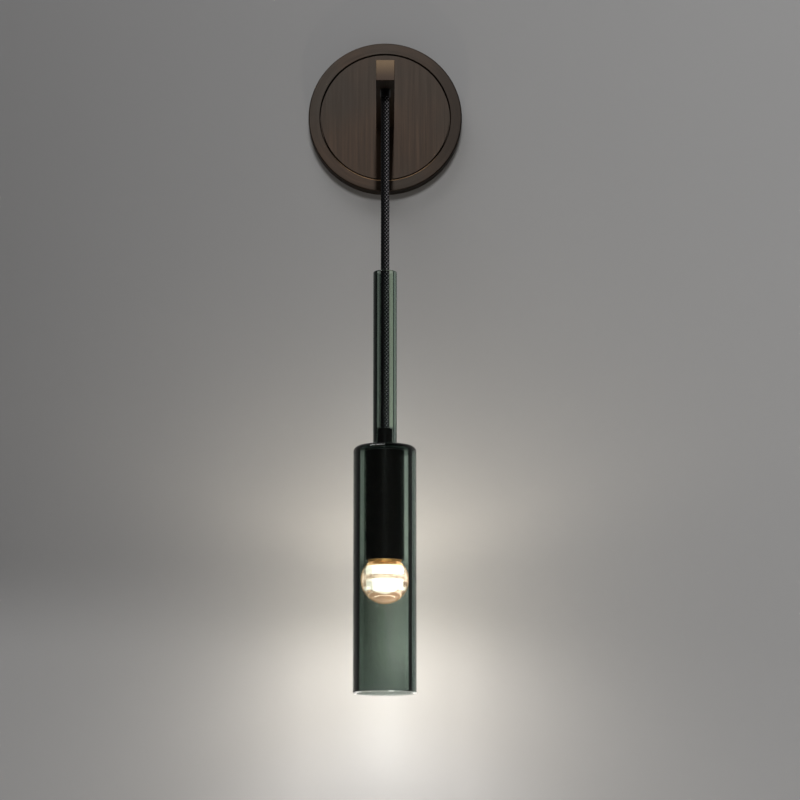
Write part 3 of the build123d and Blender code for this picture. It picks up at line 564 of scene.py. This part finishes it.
# %% Rings of the flex
samples_per_strand = 8
radius = flex_diameter / 2
lengths = np.concatenate([[0], np.cumsum(np.linalg.norm(np.diff(centreline, axis=0), axis=1))])
ring_step = braid_pitch / samples_per_strand
ring_count = int(lengths[-1] / ring_step) + 1
ring_at = np.linspace(0, lengths[-1], ring_count)
ring_centre = np.stack([np.interp(ring_at, lengths, centreline[:, k]) for k in range(3)], axis=1)
round_count = strands_each_way * samples_per_strand
angle = np.arange(round_count) * 2 * pi / round_count
strand_turn = np.arange(round_count) / samples_per_strand
relief = braid_height(strand_turn[None, :], ring_at[:, None] / braid_pitch)
ring_radius = radius - yarn_depth * (1 - relief)
rings = np.empty((ring_count, round_count, 3))
rings[:, :, 0] = ring_centre[:, None, 0] + ring_radius * np.cos(angle)
rings[:, :, 1] = ring_centre[:, None, 1] + ring_radius * np.sin(angle)
rings[:, :, 2] = ring_centre[:, None, 2]

bend_z = -0.0160
ball_tilts = np.radians([70.0, 52.0, 34.0, 16.0])
ball_rings = [
    np.stack(
        [
            flex_x + radius * cos(tilt) * np.cos(angle),
            flex_y + radius * cos(tilt) * np.sin(angle),
            np.full(round_count, bend_z + radius * sin(tilt)),
        ],
        axis=1,
    )
    for tilt in ball_tilts
    if bend_z + radius * sin(tilt) > bush_mouth_z
]
sleeve_rings = np.concatenate([np.array(ball_rings), rings])
print(f"{ring_count} rings of the braid and {len(ball_rings)} of the ball at the bend")


# %% [markdown]
# Rings of points become a mesh when each point is joined to its neighbour and to the next ring, four corners
# to a face, with one face to close each end. Smooth shading then hides the small flats between the points.


# %% A mesh from rings
def skin(rings):
    """Vertices and quads of a closed tube laid through rings of points."""
    rows, columns = rings.shape[:2]
    points = [tuple(p) for p in rings.reshape(-1, 3)]
    faces = []
    for row in range(rows - 1):
        for column in range(columns):
            after = (column + 1) % columns
            near = row * columns
            far = near + columns
            faces.append((near + column, far + column, far + after, near + after))
    faces.append(tuple(range(columns)))
    faces.append(tuple(range((rows - 1) * columns, rows * columns))[::-1])
    return points, faces


def piece(name, points, faces, finish, slot):
    """A new mesh piece with smooth shading."""
    mesh = bpy.data.meshes.new(name)
    mesh.from_pydata(points, [], faces)
    mesh.polygons.foreach_set("use_smooth", [True] * len(mesh.polygons))
    mesh.materials.append(finish.material)
    made = bpy.data.objects.new(name, mesh)
    bpy.context.scene.collection.objects.link(made)
    print(f"{name}: {len(mesh.vertices)} vertices")
    return made


print(f"{sleeve_rings.shape[0]} rings of {sleeve_rings.shape[1]} points to join")

# %% [markdown]
# The yarn is nearly black. The tops of the bundles are painted paler as a highlight, more on the side that
# faces right and forward. Two values stored on the mesh say where that is: how high the yarn stands, and how
# far a point is turned to that side. Stored values move with the mesh, so the painted highlight stays where
# it is on the flex.

# %% Textile
YARN_DARK = (0.0005, 0.0005, 0.0006)
YARN_HIGHLIGHT = (0.380, 0.365, 0.385)
textile = Finish("braided_textile", sheen_weight=0.01, sheen_roughness=0.35, specular_ior_level=0.035)
fibre = textile.noise(textile.scaled(3000.0, 3000.0, 1400.0), 1.0, 3.0)
yarn_top = textile.node("ShaderNodeAttribute", {"attribute_name": "yarn"}, out="Fac")
worn_side = textile.node("ShaderNodeAttribute", {"attribute_name": "worn_side"}, out="Fac")
# painted highlight on the yarn tops, stronger on the side that faces right and forward
yarn_light = yarn_top.between(0.74, 0.99) * fibre.between(0.30, 0.60) * worn_side
textile.set(
    base_color=textile.mix(yarn_light, YARN_DARK, YARN_HIGHLIGHT),
    roughness=0.42 + 0.25 * fibre,
    normal=textile.relief(fibre, 0.00004),
)
paint(textile, "flex_tail", "flex_end")

# %% [markdown]
# The flex mesh takes the place of the two CAD solids that stand for it, which are hidden. Each of them has
# its own body, one for each direction of the swing.

# %% The flex
lit_side_turn = 304.0     # degrees round the flex from +X, which is to the right and towards the room
lit_side_focus = 7
away_from_it = 0.04
braided_flex = piece("braided_flex", *skin(sleeve_rings), textile, "braid")
yarn_values = np.concatenate([np.ones(len(ball_rings) * round_count), relief.reshape(-1)])
# how far each point faces the side that carries the painted highlight
facing_it = np.clip(np.cos(angle - radians(lit_side_turn)), 0.0, 1.0) ** lit_side_focus
side_values = np.tile(away_from_it + (1.0 - away_from_it) * facing_it, len(ball_rings) + ring_count)
for attribute, values in (("yarn", yarn_values), ("worn_side", side_values)):
    layer = braided_flex.data.attributes.new(attribute, "FLOAT", "POINT")
    layer.data.foreach_set("value", values.astype(np.float32))
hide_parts("flex_top", "flex")
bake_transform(braided_flex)

# %% [markdown]
# ## Smoky glass
# The shade is blown in one piece, 3 mm thick, from glass that is green-grey all through. A tint painted on
# its surface would be even from edge to edge, but real tinted glass goes dark where the eye looks along the
# wall. So the colour is an absorption inside it: the long way through the rim of the tube comes out nearly
# black, as in the photograph. The surface tint is darker on the tube's left than on its right, changing
# slowly round the tube, and a painted shade darkens it where the glass turns in at the shoulder.


# %% Glass and its tint
def about_the_flex(finish):
    """X and Y measured from the flex's axis, and Z, on a piece that hangs round that axis."""
    x, y, z = finish.axes()
    return x - flex_x, y - flex_y, z


DARKER_LEFT_TINT = (0.40, 0.43, 0.40)
CLEARER_RIGHT_TINT = (0.86, 0.88, 0.85)
SMOKY_RIM = (0.40, 0.42, 0.41)
SHOULDER_TURN_SHADE = (0.10, 0.12, 0.10)
shoulder_shade_heights = (-0.3085, -0.3035, -0.3012, -0.3004)   # heights of a painted shade where the glass turns in at the shoulder
smoke = Finish(
    "smoke_glass", roughness=0.0, ior=1.5, transmission_weight=1.0, specular_tint=(0.5, 0.5, 0.5)
)
glass_x, glass_y, glass_z = about_the_flex(smoke)
glass_out = (glass_x * glass_x + glass_y * glass_y) ** 0.5
glass_side = glass_x / (glass_out + 0.0001)
rim_z = corner("glass_shade", 0, "z")
near_rim = 1.0 - glass_z.between(rim_z - 0.001, rim_z + 0.041)
even_tint = smoke.mix(glass_side.between(-1.0, 0.85), DARKER_LEFT_TINT, CLEARER_RIGHT_TINT)
even_tint = smoke.mix(near_rim * 0.5, even_tint, SMOKY_RIM)
smoke_tint = smoke.mix(glass_z.window(*shoulder_shade_heights), even_tint, SHOULDER_TURN_SHADE)
smoke_depth = smoke.node(
    "ShaderNodeVolumeAbsorption", {}, {"Color": (0.4875, 0.600, 0.575, 1.0), "Density": 330.0}
)
smoke.tree.links.new(smoke_depth.socket, smoke.output.inputs["Volume"])
print(f"the rim of the glass is {-rim_z:.3f} m below the middle of the rose")

# %% [markdown]
# Just inside each edge, light that meets the bore at a glancing angle is lost, and the photograph shows that
# as a near-black line, with a thin paler strip beside it. Layer Weight finds that angle. The lines are wider
# on the left than on the right, and different again in the neck, so each limit has four values.

# %% Lines inside the edges
LOST_LIGHT = (0.002, 0.0025, 0.002)
PALE_STRIP = (0.97, 1.0, 0.97)
NECK_EDGE = (0.10, 0.11, 0.10)
neck_foot_z = -0.3000
body_skin_radius = 0.0236      # further out than this is the body's outer skin, and nearer in is its bore
neck_narrower = 0.0152
neck_share = glass_z.between(neck_foot_z, neck_foot_z + 0.0020)
right_share = glass_side.between(-0.3, 0.3)
neck_right = neck_share * right_share


def by_zone(body_left, body_right, neck_left, neck_right_value):
    """One value for each side of the body and of the neck, blended where they meet."""
    body = body_left + (body_right - body_left) * right_share
    neck = neck_left + (neck_right_value - neck_left) * right_share
    return body + (neck - body) * neck_share


skin_from = body_skin_radius - neck_narrower * neck_share
outer_skin = glass_out.between(skin_from, skin_from + 0.0004)
grazing = smoke.node("ShaderNodeLayerWeight", {}, {"Blend": 0.5}, out="Facing")
line_from = by_zone(0.385, 0.325, 0.270, 0.270)
line_to = by_zone(0.670, 0.485, 0.670, 0.325)
strip_from = line_from - by_zone(0.150, 0.122, 0.150, 0.200)
# dark_line is a painted shade and pale_strip a painted highlight in the glass's tint; neck_edge is painted
# shade on the neck's right edge
dark_line = outer_skin * grazing.window(line_from, line_from + 0.02, line_to, line_to + 0.03)
pale_strip = outer_skin * grazing.window(strip_from, strip_from + 0.04, line_from - 0.02, line_from)
neck_edge = neck_right * grazing.between(0.60, 0.70)
edged_tint = smoke.mix(pale_strip, smoke_tint, PALE_STRIP)
edged_tint = smoke.mix(neck_edge * 0.8, edged_tint, NECK_EDGE)
smoke.set(base_color=smoke.mix(dark_line, edged_tint, LOST_LIGHT))
print(f"{len(smoke.tree.nodes)} shader nodes in the glass so far")

# %% [markdown]
# Light runs down inside the wall of the tube. A little of it leaves on the way, in the pale strips beside the
# holder and above the grip, where the black pieces behind would otherwise hide them. The rest leaves at the
# cut rim, which shows as a light ring with a few brighter glints.

# %% Light in the glass
NO_LIGHT = (0.0, 0.0, 0.0)
BODY_STRIP = (0.125, 0.155, 0.130)
NECK_STRIP = (0.150, 0.180, 0.118)
RIM_GLOW = (0.30, 0.30, 0.285)
RIM_GLINT = (1.0, 0.99, 0.95)
# painted light: the strips and the rim ring with its glints are an emission on the glass
beside_holder = glass_z.window(-0.4000, -0.3880, -0.3088, -0.3058)
above_grip = glass_z.between(grip_top_z, grip_top_z + 0.0008)
strip_share = beside_holder * (0.6 + 0.4 * right_share) + above_grip * (0.40 + 0.45 * right_share)
strip_light = smoke.mix(pale_strip * strip_share, NO_LIGHT, smoke.mix(neck_right, BODY_STRIP, NECK_STRIP))
glint = smoke.noise(smoke.scaled(70.0, 70.0, 0.0), 1.0, 1.0)
on_near_side = 1.0 - glass_y.between(0.004, 0.012)
rim_light = smoke.mix(glint.between(0.51, 0.61) * on_near_side, RIM_GLOW, RIM_GLINT)
at_rim = 1.0 - glass_z.between(rim_z + 0.0004, rim_z + 0.0010)
smoke.set(emission_color=smoke.mix(at_rim, strip_light, rim_light), emission_strength=0.6)
paint(smoke, "glass_shade")
nodes["glass_shade"].visible_shadow = False     # the lamp's light passes it

# %% [markdown]
# ## The lamp
# The ball is solid clear glass with a bore, and a lit diffuser stands in the bore. Glass that thick acts as a
# lens: the bright wall of the bore is spread half as wide again, so it nearly fills the ball. Each zone of
# the ball gets its own light from its place alone. From the top down: an amber glow under the collar, a
# glowing shoulder, the white bore with one dimmer ring round its middle, sides that sparkle and have a dark
# notch and a bright corner each, and a beige cap below the bore.

# %% Zones of the ball
bore_radius = 0.0104
collar_glow = (-0.3974, -0.3967)
shoulder = (-0.4040, -0.4022)
shoulder_notch = (-0.4032, -0.4024, -0.4006, -0.3998)
ring_low = -0.4070
ring_high = -0.4040
side_notch = (-0.4130, -0.4122, -0.4104, -0.4096)
side_corner = (-0.4168, -0.4160, -0.4142, -0.4134)
corner_squared = (0.000095, 0.000150)      # of X: the corners are 10 to 12 mm from the axis
side_foot = (-0.4172, -0.4162)
cap_top = (-0.4186, -0.4174)
white_foot_z = -0.4184
white_foot_curve = 54.0


def above_white_foot(x, z):
    """1 in the white zone, whose lower end curves up towards its sides."""
    foot = white_foot_z + white_foot_curve * x * x
    return z.between(foot, foot + 0.0008)


def in_dim_ring(z):
    """1 in the dimmer ring round the middle of the bore."""
    return z.window(ring_low - 0.0003, ring_low + 0.0005, ring_high - 0.0005, ring_high + 0.0003)


print(f"the ball is {collar_glow[1] - corner('lamp_ball', 0, 'z'):.4f} m high below its collar")

# %% [markdown]
# The zones are laid over each other like washes of paint. Each mix keeps what is under it and adds one zone,
# first the notches and corners on their own zone, then the zones on the ball from the cap up.

# %% Colours of the lit glass
WHITE_BORE = (1.0, 0.95, 0.86)
RING_BROWN = (0.11, 0.062, 0.034)
CAP_SHADE = (0.165, 0.082, 0.050)
CAP_LIT = (0.290, 0.165, 0.108)
SIDE_SHADE = (0.160, 0.085, 0.055)
SIDE_SPARKLE = (0.700, 0.470, 0.360)
SIDE_NOTCH = (0.100, 0.050, 0.026)
SIDE_CORNER = (0.95, 0.85, 0.74)
SHOULDER_SHADE = (0.56, 0.43, 0.35)
SHOULDER_LIT = (0.74, 0.62, 0.52)
SHOULDER_NOTCH = (0.160, 0.090, 0.050)
COLLAR_LIGHT = (0.150, 0.075, 0.028)
print(f"white bore {WHITE_BORE}, beige cap {CAP_LIT}")

# %% Clear ball
clear = Finish("clear_glass", roughness=0.0, ior=1.46, transmission_weight=1.0)
ball_x, ball_y, ball_z = about_the_flex(clear)
ball_out = (ball_x * ball_x + ball_y * ball_y) ** 0.5
in_bore = (1.0 - ball_out.between(bore_radius, bore_radius + 0.0002)) * above_white_foot(ball_x, ball_z)
ripple = clear.noise(clear.scaled(60.0, 60.0, 260.0), 1.0, 2.0).between(0.35, 0.65)
sparkle = clear.noise(clear.scaled(140.0, 140.0, 420.0), 1.0, 2.0).between(0.42, 0.58)
in_corner = ball_z.window(*side_corner) * (ball_x * ball_x).between(*corner_squared)

bore_light = clear.mix(in_dim_ring(ball_z), WHITE_BORE, RING_BROWN)
cap_light = clear.mix(ripple, CAP_SHADE, CAP_LIT)
side_light = clear.mix(sparkle, SIDE_SHADE, SIDE_SPARKLE)
side_light = clear.mix(ball_z.window(*side_notch), side_light, SIDE_NOTCH)
side_light = clear.mix(in_corner, side_light, SIDE_CORNER)
shoulder_light = clear.mix(ripple, SHOULDER_SHADE, SHOULDER_LIT)
shoulder_light = clear.mix(ball_z.window(*shoulder_notch) * 0.7, shoulder_light, SHOULDER_NOTCH)

skin_light = clear.mix(ball_z.between(*side_foot), cap_light, side_light)
skin_light = clear.mix(ball_z.between(*shoulder), skin_light, shoulder_light)
lit_zone = clear.mix(in_bore, skin_light, bore_light)
near_collar = ball_z.between(*collar_glow)
lit_zone = clear.mix(near_collar, lit_zone, COLLAR_LIGHT)
print(f"{len(clear.tree.nodes)} shader nodes in the ball so far")

# %% [markdown]
# The outline of the ball is painted darker and browner than its middle, a painted shade such as any solid
# glass ball shows at its edge, and the cap lets less light through than the rest. Layer Weight gives the
# outline, but not in front of the lit bore.

# %% Ball's outline and tint
BALL_CLEAR = (1.0, 0.99, 0.97)
BALL_CAP = (0.50, 0.42, 0.36)
BALL_OUTLINE = (0.50, 0.34, 0.20)
BALL_COLLAR = (0.42, 0.22, 0.09)
OUTLINE_LIGHT = (0.060, 0.030, 0.012)
limb = clear.node("ShaderNodeLayerWeight", {}, {"Blend": 0.5}, out="Facing").between(0.50, 0.80)
# painted shade at the ball's outline
outline = limb * (1.0 - in_bore)
ball_tint = clear.mix(1.0 - ball_z.between(*cap_top), BALL_CLEAR, BALL_CAP)
ball_tint = clear.mix(outline, ball_tint, BALL_OUTLINE)
clear.set(
    base_color=clear.mix(near_collar, ball_tint, BALL_COLLAR),
    emission_color=clear.mix(outline, lit_zone, OUTLINE_LIGHT),
    emission_strength=2.0,
)
paint(clear, "lamp_ball")
nodes["lamp_ball"].visible_shadow = False

# %% [markdown]
# A frosted core stands in the bore. It glows in the same zones as the ball in front of it, so the two agree
# from every side. The chips above it are yellow phosphor, and the metal collar takes some of their light,
# which is painted on it as a glow that is brighter on its upper band.

# %% Lit core
CORE_WHITE = (1.0, 0.94, 0.84)
CORE_RING = (0.14, 0.085, 0.050)
CORE_BELOW = (0.34, 0.21, 0.12)
lit_core = Finish("lit_core", roughness=0.5)
core_x, _, core_z = about_the_flex(lit_core)
frost = lit_core.noise(lit_core.place(), 900.0, 2.0)
core_light = lit_core.mix(in_dim_ring(core_z), CORE_WHITE, CORE_RING)
core_light = lit_core.mix(core_z.between(*collar_glow), core_light, COLLAR_LIGHT)
lit_core.set(
    base_color=lit_core.mix(frost, (0.070, 0.062, 0.052), (0.100, 0.090, 0.076)),
    emission_color=lit_core.mix(above_white_foot(core_x, core_z), CORE_BELOW, core_light),
    emission_strength=0.8,
)
paint(lit_core, "lamp_core")
nodes["lamp_core"].visible_shadow = False

# %% Chips and collar
COLLAR_LOWER_GLOW = (0.26, 0.125, 0.048)
COLLAR_UPPER_GLOW = (0.46, 0.27, 0.125)
phosphor = moulded("phosphor", (0.80, 0.62, 0.20), 0.4)
phosphor.set(emission_color=(1.0, 0.92, 0.75), emission_strength=2.0)
paint(phosphor, "led_chips")

amber = plated("amber_collar", (0.50, 0.27, 0.08), 0.3, (900.0, 900.0, 60.0))
upper_glow_band = amber.axes()[2].between(-0.3912, -0.3904)
# painted light: the metal collar glows, brighter on its upper band
amber.set(
    emission_color=amber.mix(upper_glow_band, COLLAR_LOWER_GLOW, COLLAR_UPPER_GLOW),
    emission_strength=0.8,
)
paint(amber, "lamp_collar")

# %% [markdown]
# ## Studio
# A plain wall stands behind the light and a plain pale floor lies below it. The wall can only be seen from
# the room: its back lets everything through, so the light can still be looked at from behind. In the
# photograph the wall is paler on its right, and more even where the lamp's pool of light falls. Both are
# in the paint, because lights that did it would also change the metal.

# %% Wall and floor
WALL_LEFT = (0.160, 0.159, 0.159)
WALL_RIGHT = (0.298, 0.296, 0.296)
FLOOR_LEFT = (0.70, 0.69, 0.68)
FLOOR_RIGHT = (0.74, 0.73, 0.72)
paler_from_x = -0.32
paler_over = 0.68
even_below = (-0.46, -0.37)
even_middle = 0.46         # share of the paler paint straight below the lamp
even_beside = 0.15         # and how much more of it to both sides
beside_squared = 0.0050    # of X, where that is reached


def one_sided(name, left, right):
    """Plain paint with painted light: paler to the right and more even low down, with a faint mottle, seen
    from its front only.
    """
    finish = Finish(name, roughness=0.9, specular_ior_level=0.2)
    along, _, up = finish.axes()
    share = ((along - paler_from_x) / paler_over).at_least(0.0).at_most(1.0)
    evened = 1.0 - up.between(*even_below)
    even_share = even_middle + even_beside * (along * along).between(0.0, beside_squared)
    mottle = finish.noise(finish.place(), 6.0, 2.0)
    paler = share * (1.0 - evened) + share.at_least(even_share) * evened + 0.03 * (mottle - 0.5)
    finish.set(base_color=finish.mix(paler, left, right))
    clear_back = finish.node("ShaderNodeBsdfTransparent")
    behind = finish.node("ShaderNodeNewGeometry", out="Backfacing")
    front = Wire(finish.tree, finish.shader.outputs[0])
    both = finish.node("ShaderNodeMixShader", {}, {0: behind, 1: front, 2: clear_back})
    finish.tree.links.new(both.socket, finish.output.inputs["Surface"])
    return finish


def stage_sheet(name, corners, finish):
    """One flat face that isn't part of the object."""
    mesh = bpy.data.meshes.new(name)
    mesh.from_pydata(corners, [], [(0, 1, 2, 3)])
    mesh.materials.append(finish.material)
    sheet = bpy.data.objects.new(name, mesh)
    bpy.context.scene.collection.objects.link(sheet)
    sheet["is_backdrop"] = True
    return sheet


room = 3.0
floor_z = -1.30
wall_y = 0.0002
wall = stage_sheet(
    "wall",
    [(-room, wall_y, floor_z), (room, wall_y, floor_z), (room, wall_y, room), (-room, wall_y, room)],
    one_sided("wall_paint", WALL_LEFT, WALL_RIGHT),
)
floor = stage_sheet(
    "floor",
    [(-room, -room, floor_z), (room, -room, floor_z), (room, wall_y, floor_z), (-room, wall_y, floor_z)],
    one_sided("floor_paint", FLOOR_LEFT, FLOOR_RIGHT),
)
print(f"wall {2 * room:.0f} m wide, floor {-floor_z:.2f} m below the rose")

# %% [markdown]
# ## Lights and what they light
# A light in Blender shines on everything and is stopped by everything. Light linking limits both to a
# collection, so three are made: the pieces fixed to the wall, all pieces of the light, and the room.


# %% Lights and collections
def shine(name, kind, place, energy, colour=(1.0, 1.0, 1.0), seen=True, **settings):
    """A light that is never seen itself, unless in reflections."""
    data = bpy.data.lights.new(name, kind)
    data.energy = energy
    data.color = colour
    for key, value in settings.items():
        setattr(data, key, value)
    light = bpy.data.objects.new(name, data)
    light.location = place
    light.visible_camera = False
    light.visible_transmission = False
    light.visible_glossy = seen
    bpy.context.scene.collection.objects.link(light)
    return light


def aim(light, target):
    light.rotation_euler = (Vector(target) - light.location).to_track_quat("-Z", "Y").to_euler()


def group(name, members):
    """A collection that a light can be limited to."""
    made = bpy.data.collections.new(name)
    for member in members:
        made.objects.link(member)
    return made


fixed_names = frame["record"]["behaviour"]["bodies"]["wall_group"]
fixed_to_wall = group("fixed_to_wall", [nodes[name] for name in fixed_names])
fitting_pieces = group("fitting_pieces", [*nodes.values(), braided_flex])
room_pieces = group("room_pieces", [wall, floor])

# %% [markdown]
# ## Key light
# The rose's shadow falls just under it and the arm's shadow runs down the plate, so the key stands a little
# above the camera, straight ahead. In the photograph the shadows are crisp on the metal and soft on the
# wall. One light can't do both here, so there are two keys in the same place: a hard one that lights only
# the fitting, and a soft one that lights only the room. Only the pieces fixed to the wall cast shadows.

# %% Two keys
key_elevation = radians(24.0)
key_azimuth = radians(0.5)
key_distance = 3.0


def key_light(name, energy, softness, receivers):
    """One of the two keys: light from the same place, for these receivers only."""
    key = shine(name, "SUN", (0, 0, 0), energy, angle=radians(softness))
    key.light_linking.blocker_collection = fixed_to_wall
    key.light_linking.receiver_collection = receivers
    key.location = (
        key_distance * sin(key_azimuth) * cos(key_elevation),
        -key_distance * cos(key_azimuth) * cos(key_elevation),
        key_distance * sin(key_elevation),
    )
    aim(key, (0, 0, 0))
    return key


keys = [
    key_light("key_on_fitting", 2.3, 1.6, fitting_pieces),
    key_light("key_on_room", 1.86, 13.0, room_pieces),
]
print(f"keys at {[round(part, 2) for part in keys[0].location]}")

# %% [markdown]
# ## Lamp light
# What the lamp throws on the wall has two parts. Light that left through the smoky glass is warm and weak: a
# glow all round and a soft lobe upwards. Light that left through the open end is nearly white: a wide cone
# downwards and a narrower beam in it, which make the pool below the shade. All four start in the ball, and
# the glass doesn't stop them, because its share is already in their strength and colour.

# %% Four lights in the ball
THROUGH_GLASS = (1.0, 0.90, 0.74)
WIDE_CONE = (1.0, 0.94, 0.85)
OPEN_LIGHT = (0.975, 0.970, 0.990)
ball_centre = (flex_x, flex_y, -0.4072)
lamp_size = 0.004
glow = shine("lamp_glow", "POINT", ball_centre, 0.78, THROUGH_GLASS, shadow_soft_size=lamp_size)


def spot(name, energy, colour, across, blend):
    """A cone of light from the ball, which points down until it is turned."""
    return shine(
        name, "SPOT", ball_centre, energy, colour, seen=False,
        shadow_soft_size=lamp_size, spot_size=radians(across), spot_blend=blend,
    )


upward = spot("lamp_upward", 0.60, THROUGH_GLASS, 168.0, 0.4)
upward.rotation_euler = (pi, 0, 0)
downward = spot("lamp_downward", 3.5, WIDE_CONE, 180.0, 1.0)
beam = spot("lamp_beam", 2.8, OPEN_LIGHT, 110.0, 1.0)
lamp_lights = (glow, upward, downward, beam)
for light in lamp_lights:
    light.light_linking.blocker_collection = fixed_to_wall
print(f"{len(lamp_lights)} lights in the ball, {sum(light.data.energy for light in lamp_lights):.2f} W")

# %% [markdown]
# ## The rest of the light
# A fill stands behind the wall and lights only the pieces fixed to it, so that the inside of the rose shows
# when the light is looked at from behind. A large soft panel overhead and a grey world do the rest.

# %% Fill, overhead and world
rose_fill = shine("rose_fill", "AREA", (0, 1.20, 0), 8.0, size=0.1)
rose_fill.light_linking.receiver_collection = fixed_to_wall
rose_fill.light_linking.blocker_collection = fixed_to_wall
aim(rose_fill, (0, 0, 0))

overhead = shine("overhead", "AREA", (-0.45, -0.50, 1.25), 15.0, shape="RECTANGLE", size=1.2, size_y=0.7)
aim(overhead, (0, 0, -0.05))

world = bpy.data.worlds.new("studio")
world.use_nodes = True
background = world.node_tree.nodes["Background"]
background.inputs["Color"].default_value = (0.04, 0.04, 0.041, 1.0)
background.inputs["Strength"].default_value = 1.0
bpy.context.scene.world = world
print(f"{len(bpy.data.lights)} lights")

# %% [markdown]
# ## Both boxes
# The CAD model's box and the visual model's box are measured, and their sizes printed.

# %% Finish
visual_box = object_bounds()
boxes = {"cad": [list(c) for c in cad_box], "visual": [list(c) for c in visual_box]}
for name, (low, high) in boxes.items():
    print(name, [round(h - l, 4) for l, h in zip(low, high)])
